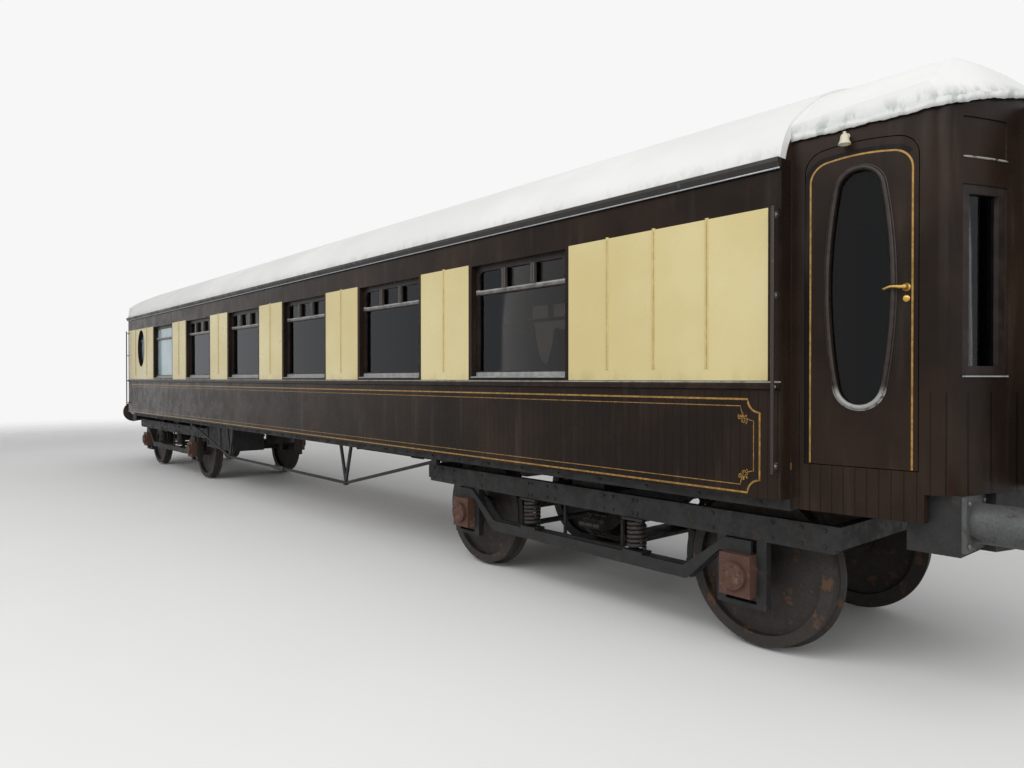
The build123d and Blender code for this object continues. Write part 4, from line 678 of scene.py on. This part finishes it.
def scalloped(half_l, low, high, notch):
    """Closed path round a panel whose corners are cut by arcs that bulge inwards."""
    path = []
    for cx, cz, start in ((half_l, high, 270), (-half_l, high, 360), (-half_l, low, 90), (half_l, low, 180)):
        path.extend(arc((cx, cz), notch, start, start - 90, 8))
    return path


def scroll(x, z, up, along):
    """Leaf scroll in the corner of the lining: two curls on a stem, with three leaves."""

    def at(du, dz, turn, reach):
        return x + along * (du + reach * cos(radians(turn))), z + up * (dz + reach * sin(radians(turn)))

    parts = []
    for du, dz, size in SCROLL_CURLS:
        curl = [at(du, dz, -60 + i * 24, size * (1 - i / 26)) for i in range(22)]
        parts.append(ribbon(curl, SCROLL_STEM_W, LINE_T, on_side))
    for tilt, reach in SCROLL_LEAVES:
        parts.append(ribbon([(x, z), at(0, 0, tilt, reach)], SCROLL_LEAF_W, LINE_T, on_side))
    return parts


lining = [ribbon(scalloped(*panel), width, LINE_T, on_side, closed=True) for *panel, width in SIDE_LINES]
for end in (1, -1):
    for x, z, up in SCROLLS:
        lining.extend(scroll(end * x, z, up, end))
piece("side_lining", two_sides(lining), "gold", "coach")

# Bars in front of the toplights, two side by side at each mullion
FRAME_SET_IN = 0.055
FRAME_EDGE_W = 0.050
MULLION_W = 0.025
TRANSOM_W = 0.045
WINDOW_H = 1.010
BAR_W = 0.019
BAR_APART = 0.027
BAR_OUT = 0.026
mullion_x = ((2 * (WINDOW_HALF_W - FRAME_EDGE_W) - 2 * MULLION_W) / 3 + MULLION_W) / 2
bar_y = -SIDE_Y + FRAME_SET_IN
bar_low = TRANSOM_Z + TRANSOM_W
bar_high = SILL_Z + WINDOW_H - FRAME_EDGE_W
toplight_bars = []
for x in WINDOW_XS[:-1]:
    for offset in (-mullion_x, mullion_x):
        for step in (-BAR_APART / 2, BAR_APART / 2):
            mid = x + offset + step
            bar = block(mid - BAR_W / 2, mid + BAR_W / 2, bar_y - BAR_OUT, bar_y, bar_low, bar_high)
            toplight_bars.append(bar)
piece("toplight_bars", two_sides(toplight_bars), "bar", "coach")

# Pale lip along the lower edge of each gutter
LIP_R = 0.0055
LIP_STEPS = 40
lip_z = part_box("gutters")[0].z - 0.001
lip_y = -SIDE_Y - 0.021
lip_path = [Vector((BODY_HALF_L * (1 - 2 * i / LIP_STEPS), lip_y, lip_z)) for i in range(LIP_STEPS + 1)]
piece("gutter_lips", two_sides([sweep(lip_path, LIP_R, 8)]), "gutter_lip", "coach", True)

# Door lining, a painted shadow of the doorway's reveal round it, ring and handle, on each of the four doors
DOOR_LINE_INSET = 0.034
DOOR_LINE_DROP = 0.045
DOOR_LINE_BOTTOM = FLOOR_TOP + 0.008
DOOR_LINE_W = 0.010
# Painted shadow of the doorway's reveal: its inset from the door edge, its width, and the points it leaves
# off at the end
REBATE_SHADOW_INSET = 0.0155
REBATE_SHADOW_W = 0.026
REBATE_SHADOW_LEFT_OFF = 6
DOORWAY_TOP = RAIL_TOP + 3.205
DOORWAY_ARCH = 0.035
DOOR_CORNER_R = 0.125
RING_R = 0.014
RING_LIP_R = 0.006
KEYHOLE_DROP = 0.062
INNER_FACE_OUT = -0.047
ROSE = [(0.0, 0.024), (0.003, 0.024), (0.006, 0.018), (0.012, 0.014), (0.034, 0.011), (0.044, 0.013)]
ROSE += [(0.05, 0.01)]
KEYHOLE = [(0.0, 0.020), (0.003, 0.020), (0.006, 0.014), (0.007, 0.004)]
INNER_KNOB = [(0.0, 0.022), (0.004, 0.022), (0.008, 0.008), (0.02, 0.008), (0.026, 0.02), (0.034, 0.018)]
# Lever as distance from the rose, height, distance from the door, and radius
LEVER = [(-0.012, 0.0, 0.044, 0.009), (0.02, 0.0, 0.044, 0.010), (0.045, 0.004, 0.044, 0.008)]
LEVER += [(0.07, 0.006, 0.043, 0.007), (0.09, 0.001, 0.041, 0.0065), (0.104, -0.006, 0.038, 0.006)]
LEVER += [(0.112, -0.002, 0.036, 0.004)]


def door_line_path(inset):
    """Path up one edge of the door, round its arched top and down the other edge."""
    half = DOORWAY_W / 2 - inset
    corner = DOOR_CORNER_R - inset * 0.4
    arch_r = (half**2 + DOORWAY_ARCH**2) / (2 * DOORWAY_ARCH)
    arch_z = DOORWAY_TOP - DOOR_LINE_DROP - inset - arch_r
    corner_z = arch_z + sqrt((arch_r - corner) ** 2 - (half - corner) ** 2)
    lean = degrees(asin((half - corner) / (arch_r - corner)))
    path = [(DOOR_MID_U - half, DOOR_LINE_BOTTOM)]
    path += arc((DOOR_MID_U - half + corner, corner_z), corner, 180, 90 + lean, 10)
    path += arc((DOOR_MID_U, arch_z), arch_r, 90 + lean, 90 - lean, 10)[1:-1]
    path += arc((DOOR_MID_U + half - corner, corner_z), corner, 90 - lean, 0, 10)
    path.append((DOOR_MID_U + half, DOOR_LINE_BOTTOM))
    return path


def door_oval_path(grow, out):
    """Closed path round the door glass: two small end arcs that run into two long side arcs."""
    half_w = DOOR_GLASS_HALF[0] + grow
    half_h = DOOR_GLASS_HALF[1] + grow
    end_r = DOOR_GLASS_END_R + grow
    end_up = half_h - end_r
    side_r = (half_w**2 + end_up**2 - end_r**2) / (2 * (half_w - end_r))
    lean = degrees(atan2(end_up, side_r - half_w))
    path = []
    for turn, way in ((0, 1), (180, -1)):
        side = (DOOR_MID_U + way * (half_w - side_r), DOOR_GLASS_Z)
        path += arc(side, side_r, turn - lean, turn + lean, 24)[1:]
        path += arc((DOOR_MID_U, DOOR_GLASS_Z + way * end_up), end_r, turn + lean, turn + 180 - lean, 16)[1:]
    return [door_face(u, z, out) for u, z in path]


def door_face(u, z, out=0.0):
    return on_wall(u, z, DOOR_FACE_OUT + out)


wall_out = Vector((sin(TAPER), -cos(TAPER), 0))
door_line = ribbon(door_line_path(DOOR_LINE_INSET), DOOR_LINE_W, LINE_T, door_face)
# The painted shadow of the reveal leaves off within the corner over the handle, so it lies along the hinge
# side and the top
rebate_shadow_path = door_line_path(REBATE_SHADOW_INSET)[:-REBATE_SHADOW_LEFT_OFF]
door_rebate_shadow = ribbon(rebate_shadow_path, REBATE_SHADOW_W, LINE_T / 2, door_face)
door_ring = sweep(door_oval_path(0.014, 0.006), RING_R, 10, closed=True)
ring_lip = sweep(door_oval_path(0.03, 0.001), RING_LIP_R, 6, closed=True)
lever_path = [door_face(HANDLE_U - u, HANDLE_Z + dz, out) for u, dz, out, _ in LEVER]
handle = [
    turned(ROSE, door_face(HANDLE_U, HANDLE_Z), wall_out),
    turned(KEYHOLE, door_face(HANDLE_U, HANDLE_Z - KEYHOLE_DROP), wall_out),
    sweep(lever_path, [radius for *_, radius in LEVER], 10),
    turned(INNER_KNOB, on_wall(HANDLE_U, HANDLE_Z, INNER_FACE_OUT), -wall_out),
]
for end_name, end in ENDS:
    for side_name, side in (("left", 1), ("right", -1)):
        tag = end_name + "_" + side_name
        body = "door_" + tag
        piece("door_lining_" + tag, mirrored([door_line], end, side), "gold", body)
        # Painted shadow of the doorway's reveal along the hinge side and top
        piece("door_rebate_shadow_" + tag, mirrored([door_rebate_shadow], end, side), "rebate_shadow", body)
        piece("door_ring_" + tag, mirrored([door_ring, ring_lip], end, side), "ring", body, True)
        grip = piece("door_handle_" + tag, mirrored(handle, end, side), "brass", body, True)
        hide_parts("door_fittings_" + tag)

# Bell lamps over the doors, each on a bent arm
LAMP_U = 0.319
LAMP_OUT = 0.048
LAMP_TOP = RAIL_TOP + 3.277
LAMP_ARM_R = 0.005
LAMP_FOOT_Z = LAMP_TOP - 0.034
LAMP_SHELL = [(0.018, 0.004), (0.021, 0.009), (0.026, 0.010), (0.029, 0.007), (0.032, 0.012), (0.038, 0.019)]
LAMP_SHELL += [(0.048, 0.023), (0.064, 0.025), (0.076, 0.028), (0.087, 0.0345), (0.093, 0.035)]
LAMP_SHELL += [(0.092, 0.031), (0.074, 0.022), (0.052, 0.018)]
LAMP_ARM = ((0.0, -0.034), (0.018, -0.030), (0.034, -0.020), (LAMP_OUT, -0.022))
LAMP_FOOT = [(0.0, 0.016), (0.004, 0.016), (0.007, 0.009)]
lamp = [
    turned(LAMP_SHELL, on_wall(LAMP_U, LAMP_TOP, LAMP_OUT), (0, 0, -1), 24),
    sweep([on_wall(LAMP_U, LAMP_TOP + dz, out) for out, dz in LAMP_ARM], LAMP_ARM_R, 8),
    turned(LAMP_FOOT, on_wall(LAMP_U, LAMP_FOOT_Z), wall_out, 16),
]
lamps = piece("bell_lamps", four_ways(lamp), "bell", "coach", True)
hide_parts("door_lamps")

# Coil springs and laminated springs of the bogies
BOGIE_X = 5.72
WHEELBASE = 3.05
COIL_TURNS = 6
COIL_TURN_STEPS = 18
COIL_R = 0.062
COIL_WIRE_R = 0.015
COIL_X = 0.6
COIL_Y = 0.985
COIL_LOW = 0.55
COIL_HIGH = 0.78
SPRING_Y = 0.56
SPRING_HALF_L = 0.31
SPRING_RISE = 0.165
SPRING_MID_Z = 0.633
SPRING_APART = 0.08
SPRING_LEAVES = 4
LEAF_HALF_W = 0.035
LEAF_T = 0.011
LEAF_APART = 0.012
LEAF_SHORTER = 0.13
LEAF_STEPS = 14
BUCKLE_HALF = (0.039, 0.04, 0.027)
BUCKLE_DROP = 0.028
EYE = [(-0.036, 0.012), (-0.036, 0.024), (0.036, 0.024), (0.036, 0.012)]


def bowed_leaf(x, reach, rise, way):
    """One leaf: an arc in the cross plane from -reach to reach, bowed up or down."""
    radius = (SPRING_HALF_L**2 + rise**2) / (2 * rise)
    rings = []
    for i in range(LEAF_STEPS + 1):
        y = -reach + 2 * reach * i / LEAF_STEPS
        outer = SPRING_MID_Z + way * (rise - radius + sqrt(radius**2 - y**2))
        corners = ((-1, outer), (1, outer), (1, outer - way * LEAF_T), (-1, outer - way * LEAF_T))
        rings.append([Vector((x + dx * LEAF_HALF_W, y - SPRING_Y, z)) for dx, z in corners[::way]])
    return tube(rings)


def leaf_nest():
    """Three elliptic springs side by side, each with bowed leaves, a buckle at each middle and eyes."""
    parts = []
    for x in (-SPRING_APART, 0.0, SPRING_APART):
        for way in (1, -1):
            for i in range(SPRING_LEAVES):
                reach = SPRING_HALF_L * (1 - LEAF_SHORTER * (SPRING_LEAVES - 1 - i))
                parts.append(bowed_leaf(x, reach, SPRING_RISE - LEAF_APART * i, way))
            z = SPRING_MID_Z + way * (SPRING_RISE - BUCKLE_DROP)
            edges = [(c - half, c + half) for c, half in zip((x, -SPRING_Y, z), BUCKLE_HALF)]
            parts.append(block(*edges[0], *edges[1], *edges[2]))
        for y in (-SPRING_HALF_L, SPRING_HALF_L):
            parts.append(turned(EYE, (x, y - SPRING_Y, SPRING_MID_Z), (1, 0, 0), 14))
    return parts


def coil(x, y):
    """One upright spring of round wire."""
    steps = COIL_TURNS * COIL_TURN_STEPS
    path = []
    for i in range(steps + 1):
        share = i / steps
        turn = 2 * pi * COIL_TURNS * share
        z = COIL_LOW + COIL_WIRE_R + (COIL_HIGH - COIL_LOW - 2 * COIL_WIRE_R) * share
        path.append(Vector((x + COIL_R * cos(turn), y + COIL_R * sin(turn), z)))
    return sweep(path, COIL_WIRE_R, 8)


for end_name, end in ENDS:
    bogie_x = end * BOGIE_X
    body = "bogie_" + end_name
    coils = [coil(bogie_x + dx * COIL_X, dy * COIL_Y) for dx in (-1, 1) for dy in (-1, 1)]
    leaves = [posed(part, Matrix.Translation((bogie_x, 0, 0))) for part in two_sides(leaf_nest())]
    coil_piece = piece("coil_springs_" + end_name, coils, "spring", body, True)
    leaf_piece = piece("leaf_springs_" + end_name, leaves, "spring", body)
    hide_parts("bogie_springs_" + end_name)
    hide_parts("bogie_springs_" + end_name)

# Bench seats: crowned cushions with piped edges in wooden ends, measured from the floor in the
# middle of a facing pair
SEAT_AISLE_Y = 0.27
SEAT_WALL_Y = 1.195
SEAT_BACK_TOP = 1.08
SEAT_PAD_AT = (0.64, 0.365)
BACK_PAD_AT = (0.905, 0.755)
BACK_LEAN = radians(10.2)
PAD_PITCH = (SEAT_WALL_Y - SEAT_AISLE_Y - 0.08) / 2
PAD_HALF_W = PAD_PITCH / 2 - 0.003
SEAT_PAD_HALF = (0.245, PAD_HALF_W, 0.075)
BACK_PAD_HALF = (0.3, PAD_HALF_W, 0.062)
PAD_COLUMNS = 20
PAD_ROWS = 10
PAD_BOXY = 0.3
PAD_PINCH = 0.035
PAD_VOXEL = 0.024
PAD_PRESSURE = 4.0
PAD_FRAMES = 20
SWELL_CAP = 0.012
PIPING_R = 0.006
BENCH_END_T = 0.028
BENCH_WOOD_Y = (SEAT_AISLE_Y + 0.03, SEAT_WALL_Y - 0.03)
BENCH_END = [(0.46, 0.0), (0.985, 0.0), (0.99, SEAT_BACK_TOP - 0.06), (0.975, SEAT_BACK_TOP - 0.02)]
BENCH_END += [(0.94, SEAT_BACK_TOP), (0.90, SEAT_BACK_TOP - 0.03), (0.86, 0.86), (0.80, 0.70), (0.70, 0.63)]
BENCH_END += [(0.46, 0.615), (0.41, 0.60), (0.395, 0.57), (0.41, 0.54), (0.45, 0.5), (0.46, 0.3)]


def signed_power(value, exponent):
    return (abs(value) ** exponent) * (1 if value >= 0 else -1)


def pillow(half):
    """Closed crowned form about the origin whose sides pull in between its corners, and its seam."""
    points, faces = [], []

    def at(turn, lift):
        flat = signed_power(cos(lift), PAD_BOXY)
        x = flat * signed_power(cos(turn), PAD_BOXY)
        y = flat * signed_power(sin(turn), PAD_BOXY)
        z = signed_power(sin(lift), PAD_BOXY * 1.6)
        x, y = x * (1 - PAD_PINCH * (1 - y * y)), y * (1 - PAD_PINCH * (1 - x * x))
        crown = 0.86 + 0.14 * (1 - x * x) * (1 - y * y)
        return Vector((x * half[0], y * half[1], z * half[2] * crown))

    for j in range(1, PAD_ROWS):
        for i in range(PAD_COLUMNS):
            points.append(at(2 * pi * (i + 0.5) / PAD_COLUMNS, -pi / 2 + pi * j / PAD_ROWS))
    low, high = len(points), len(points) + 1
    points += [Vector((0, 0, -half[2])), Vector((0, 0, half[2]))]
    top_row = (PAD_ROWS - 2) * PAD_COLUMNS
    for i in range(PAD_COLUMNS):
        k = (i + 1) % PAD_COLUMNS
        for row in range(0, top_row, PAD_COLUMNS):
            faces.append((row + i, row + k, row + PAD_COLUMNS + k, row + PAD_COLUMNS + i))
        faces.append((low, k, i))
        faces.append((high, top_row + i, top_row + k))
    seam = sweep([at(2 * pi * (i + 0.5) / 28, 0.0) for i in range(28)], PIPING_R, 6, closed=True)
    return [(points, faces), seam]


def swollen(half):
    """Cushion that a short cloth simulation blows up from inside, with piping round it after."""
    form = pillow([h - SWELL_CAP for h in half])[0]
    pad = placed("pad", mesh_of("pad", *form))
    remesh = pad.modifiers.new("remesh", "REMESH")
    remesh.mode = "VOXEL"
    remesh.voxel_size = PAD_VOXEL
    start = worked_out(pad)
    pad.modifiers.clear()
    pad.data = start
    cloth = pad.modifiers.new("cloth", "CLOTH")
    cloth.settings.use_pressure = True
    cloth.settings.uniform_pressure_force = PAD_PRESSURE
    cloth.settings.effector_weights.gravity = 0.0
    cloth.point_cache.frame_start = 1
    cloth.point_cache.frame_end = PAD_FRAMES
    for moment in range(1, PAD_FRAMES + 1):
        scene.frame_set(moment)
    blown = worked_out(pad)
    points = []
    for before, after in zip(start.vertices, blown.vertices):
        step = after.co - before.co
        if step.length > SWELL_CAP:
            step *= SWELL_CAP / step.length
        points.append(before.co + step)
    faces = [tuple(face.vertices) for face in blown.polygons]
    bpy.data.objects.remove(pad)
    scene.frame_set(1)
    tree = BVHTree.FromPolygons(points, faces)
    spokes = circle(Vector(), Vector((1, 0, 0)), Vector((0, 1, 0)), 1.0, 36)
    seam = [tree.ray_cast(far, -far)[0] for far in spokes]
    return [(points, faces), sweep(seam, PIPING_R, 6, closed=True)]


seat_pad = swollen(SEAT_PAD_HALF)
back_pad = swollen(BACK_PAD_HALF)


def bench():
    """Cushions and wooden parts of the far bench that backs on to the front end."""
    soft = []
    upright = Matrix.Rotation(BACK_LEAN, 4, "Y") @ Matrix.Rotation(pi / 2, 4, "Y")
    for step in (-1, 1):
        y = (SEAT_AISLE_Y + SEAT_WALL_Y + step * PAD_PITCH) / 2
        seat_at = Matrix.Translation((SEAT_PAD_AT[0], y, SEAT_PAD_AT[1]))
        back_at = Matrix.Translation((BACK_PAD_AT[0], y, BACK_PAD_AT[1])) @ upright
        soft += [posed(part, seat_at) for part in seat_pad] + [posed(part, back_at) for part in back_pad]
    hard = [
        tube([[Vector((x, face_y, z)) for x, z in BENCH_END] for face_y in (y + BENCH_END_T, y)])
        for y in (SEAT_AISLE_Y + 0.002, SEAT_WALL_Y - 0.03)
    ]
    hard.append(block(0.47, 0.93, *BENCH_WOOD_Y, 0.0, 0.28))
    hard.append(block(0.955, 0.98, *BENCH_WOOD_Y, 0.0, SEAT_BACK_TOP - 0.02))
    return soft, hard


soft, hard = bench()
bench_places = [
    Matrix.Translation((x, 0, FLOOR_TOP)) @ Matrix.Diagonal((way, side, 1, 1))
    for x in WINDOW_XS[:-1]
    for way in (1, -1)
    for side in (1, -1)
]
seat_cushions = [posed(part, place) for place in bench_places for part in soft]
seat_wood = [posed(part, place) for place in bench_places for part in hard]
cushion_piece = piece("seat_cushions", seat_cushions, "upholstery", "coach", True)
wood_piece = piece("seat_frames", seat_wood, "seat_wood", "coach")
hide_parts("seats")
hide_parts("seats")

# Bolts and rivets
OUTWARDS = (0, -1, 0)
BUFFER_Y = 0.87
BUFFER_Z = RAIL_TOP + 1.055
BUFFER_SOCKET_L = 0.33
BUFFER_FLANGE_T = 0.025
FLANGE_BOLT_OUT = 0.115
RIVET_END_X = 7.5
RIVET_GAPS = 33
RIVET_Y = -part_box("underframe")[1].y
RIVET_Z = 1.095
AXLE_Z = RAIL_TOP + 0.5335
BOX_FACE_Y = 1.135
COVER_BOLT_OUT = 0.07
FRAME_FACE_Y = 1.015
FRAME_MID_Z = 0.883
FRAME_BOLT_XS = (0.28, 0.38, 0.58, 0.62, 1.3, 1.75, 1.95, 2.1)
FRAME_BOLT_UP = 0.05
flange_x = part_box("buffer_sockets")[1].x - BUFFER_SOCKET_L + BUFFER_FLANGE_T
flange_bolts = [
    dome_bolt((flange_x, -BUFFER_Y + dy * FLANGE_BOLT_OUT, BUFFER_Z + dz * FLANGE_BOLT_OUT), (1, 0, 0), 0.016)
    for dy in (-1, 1)
    for dz in (-1, 1)
]
piece("flange_bolts", four_ways(flange_bolts), "bolt", "coach", True)
rivet_xs = [RIVET_END_X * (2 * i / RIVET_GAPS - 1) for i in range(RIVET_GAPS + 1)]
rivets = [dome_bolt((x, RIVET_Y, RIVET_Z), OUTWARDS, 0.011) for x in rivet_xs]
piece("solebar_rivets", two_sides(rivets), "iron", "coach", True)
for end_name, end in ENDS:
    body = "bogie_" + end_name
    cover_bolts, frame_bolts = [], []
    for dx in (-WHEELBASE / 2, WHEELBASE / 2):
        for turn in range(30, 390, 60):
            x = end * BOGIE_X + dx + COVER_BOLT_OUT * cos(radians(turn))
            z = AXLE_Z + COVER_BOLT_OUT * sin(radians(turn))
            cover_bolts.append(dome_bolt((x, -BOX_FACE_Y, z), OUTWARDS, 0.011))
    for dx in FRAME_BOLT_XS:
        for x in (end * BOGIE_X - dx, end * BOGIE_X + dx):
            for z in (FRAME_MID_Z - FRAME_BOLT_UP, FRAME_MID_Z + FRAME_BOLT_UP):
                frame_bolts.append(dome_bolt((x, -FRAME_FACE_Y, z), OUTWARDS, 0.013))
    piece("cover_bolts_" + end_name, two_sides(cover_bolts), "axlebox", body, True)
    piece("frame_bolts_" + end_name, two_sides(frame_bolts), "iron", body, True)

# Plan of each end: the door wall, then the bowed end wall
WALL_L = 0.8
CORNER_Y = WALL_START_Y - WALL_L * sin(TAPER)
CORNER_X = BODY_HALF_L + WALL_L * cos(TAPER)
BOW_R = 2.3
BOW_X = CORNER_X - sqrt(BOW_R**2 - CORNER_Y**2)


def on_bow(y, z, out):
    """Point on the near half of an end wall, a distance out from its face."""
    turn = -asin(y / BOW_R)
    return Vector((BOW_X + (BOW_R + out) * cos(turn), (BOW_R + out) * sin(turn), z))


# Ledge under the recessed panel over each end window; its pale patches are partly wear and partly a painted
# highlight along it
END_WINDOW_H = 1.045
END_PANEL_UP = 0.15
LEDGE_FROM_CORNER = (0.138, 0.476)
LEDGE_STEPS = 10
LEDGE_RADII = [0.004] + [0.006] * (LEDGE_STEPS - 1) + [0.004]
ledge_z = SILL_Z + END_WINDOW_H + END_PANEL_UP - 0.004
first_y, last_y = (BOW_R * sin(asin(CORNER_Y / BOW_R) - along / BOW_R) for along in LEDGE_FROM_CORNER)
ledge_ys = [first_y + (last_y - first_y) * i / LEDGE_STEPS for i in range(LEDGE_STEPS + 1)]
ledge = sweep([on_bow(y, ledge_z, 0.002) for y in ledge_ys], LEDGE_RADII, 8)
piece("end_ledges", four_ways([ledge]), "ledge", "coach", True)

# Rolled canvas along the lower edge of each roof end
BOW_STEPS = 60
EDGE_CORNER_Z = RAIL_TOP + 3.31
HEM_WALL_L = 0.78
HEM_WALL_STEPS = 39
HEM_INNER = 0.0185
HEM_OUTER = 0.0225
HEM_LOW = -0.010
HEM_HIGH = 0.034


def edge_height(y):
    """Height of the roof end's lower edge at a distance from the centre line."""
    rise = ROOF_EDGE_Z - EDGE_CORNER_Z
    radius = (CORNER_Y**2 + rise**2) / (2 * rise)
    y = abs(y)
    if y <= CORNER_Y:
        return ROOF_EDGE_Z - radius + sqrt(radius**2 - y**2)
    return EDGE_CORNER_Z - 2 * rise / CORNER_Y * (y - CORNER_Y)


def edge_path(out):
    """Plan of the near half of a roof end's edge, from the body round to the centre line."""
    path = [on_wall(HEM_WALL_L * i / HEM_WALL_STEPS, 0.0, out).xy for i in range(HEM_WALL_STEPS + 1)]
    side = wall_out.xy
    front = Vector((CORNER_X - BOW_X, -CORNER_Y)).normalized()
    path.append(Vector((CORNER_X, -CORNER_Y)) + out * (side + front) / (1 + side.dot(front)))
    start = atan2(-CORNER_Y, CORNER_X - BOW_X)
    for i in range(1, BOW_STEPS + 1):
        turn = start * (1 - i / BOW_STEPS)
        path.append(Vector((BOW_X + (BOW_R + out) * cos(turn), (BOW_R + out) * sin(turn))))
    return path


def hem():
    """The near half of one hem, with uneven edges."""
    rings = []
    for i, (a, b) in enumerate(zip(edge_path(HEM_INNER), edge_path(HEM_OUTER))):
        z = edge_height(b.y)
        low = z + HEM_LOW + 0.0022 * sin(i * 0.9) + 0.002 * sin(i * 2.3 + 1) + 0.0025 * sin(i * 0.37)
        high = z + HEM_HIGH + 0.008 * sin(i * 0.53) + 0.004 * sin(i * 1.7)
        swell = 0.002 * sin(i * 1.3)
        corners = ((a.x, a.y, high), (b.x, b.y, high), (b.x, b.y - swell, low), (a.x, a.y, low))
        rings.append(list(map(Vector, corners)))
    return tube(rings)


piece("canvas_hems", four_ways([hem()]), "hem", "coach", True)

# Studio. Floor and sky show a plain tone and light the coach with another.
FLOOR_HALF = 60.0
FLOOR_FADE = (10.0, 30.0)
floor_block = block(-FLOOR_HALF, FLOOR_HALF, -FLOOR_HALF, FLOOR_HALF, -0.02, 0.0)
floor = placed("studio_floor", mesh_of("studio_floor", *floor_block))
s = Shader("studio_floor")
distance = s.add("ShaderNodeVectorMath", {0: s.place((1, 1.6, 1))}, operation="LENGTH")
pale = s.mix(s.noise(0.4, 2.0), srgb(238, 238, 237), srgb(244, 244, 243))
s.finish(s.mix(s.seen(), srgb(205, 205, 204), pale), 0.9)
s.feed(s.surface.inputs["Alpha"], s.steps(distance.outputs["Value"], *FLOOR_FADE, 1.0, 0.0))
floor.data.materials.append(s.material)

world = bpy.data.worlds.new("studio")
scene.world = world
world.use_nodes = True
world.node_tree.nodes.clear()
sky = Nodes(world.node_tree)
lit = sky.add("ShaderNodeBackground", {"Color": (0.97, 0.975, 0.98, 1.0), "Strength": 0.55})
shown = sky.add("ShaderNodeBackground", {"Color": (0.93, 0.93, 0.93, 1.0), "Strength": 1.0})
both = sky.add("ShaderNodeMixShader", {0: sky.seen(), 1: lit.outputs[0], 2: shown.outputs[0]})
sky.add("ShaderNodeOutputWorld", {"Surface": both.outputs[0]})


def aimed(thing, place, way):
    """Puts a lamp or a camera at a place, looking along a way."""
    thing.location = place
    thing.rotation_mode = "QUATERNION"
    thing.rotation_quaternion = way.to_track_quat("-Z", "Y")


def area_light(name, place, target, size, energy):
    lamp = bpy.data.lights.new(name, "AREA")
    lamp.shape = "RECTANGLE"
    lamp.size, lamp.size_y = size
    lamp.energy = energy
    aimed(placed(name, lamp), place, Vector(target) - Vector(place))


area_light("key_light", (6.0, -14.0, 12.0), (1.0, 0.0, 1.8), (16.0, 10.0), 1350.0)
area_light("fill_light", (16.0, -4.0, 7.0), (7.0, 0.0, 1.8), (8.0, 8.0), 350.0)

# Camera at the photograph's place
CAMERA_PLACE = (9.983, -5.392, 1.870)
CAMERA_YAW = radians(139.42)
CAMERA_PITCH = radians(-0.43)
FOCAL_PIXELS = 733.0
IMAGE_W = 1024.0
SENSOR_W = 36.0
camera_data = bpy.data.cameras.new("camera")
camera_data.sensor_width = SENSOR_W
camera_data.lens = FOCAL_PIXELS / IMAGE_W * SENSOR_W
camera = placed("camera", camera_data)
level = Vector((cos(CAMERA_YAW), sin(CAMERA_YAW), 0)) * cos(CAMERA_PITCH)
aimed(camera, CAMERA_PLACE, level + Vector((0, 0, sin(CAMERA_PITCH))))
bpy.context.scene.camera = camera
bpy.context.scene.view_settings.view_transform = "Standard"
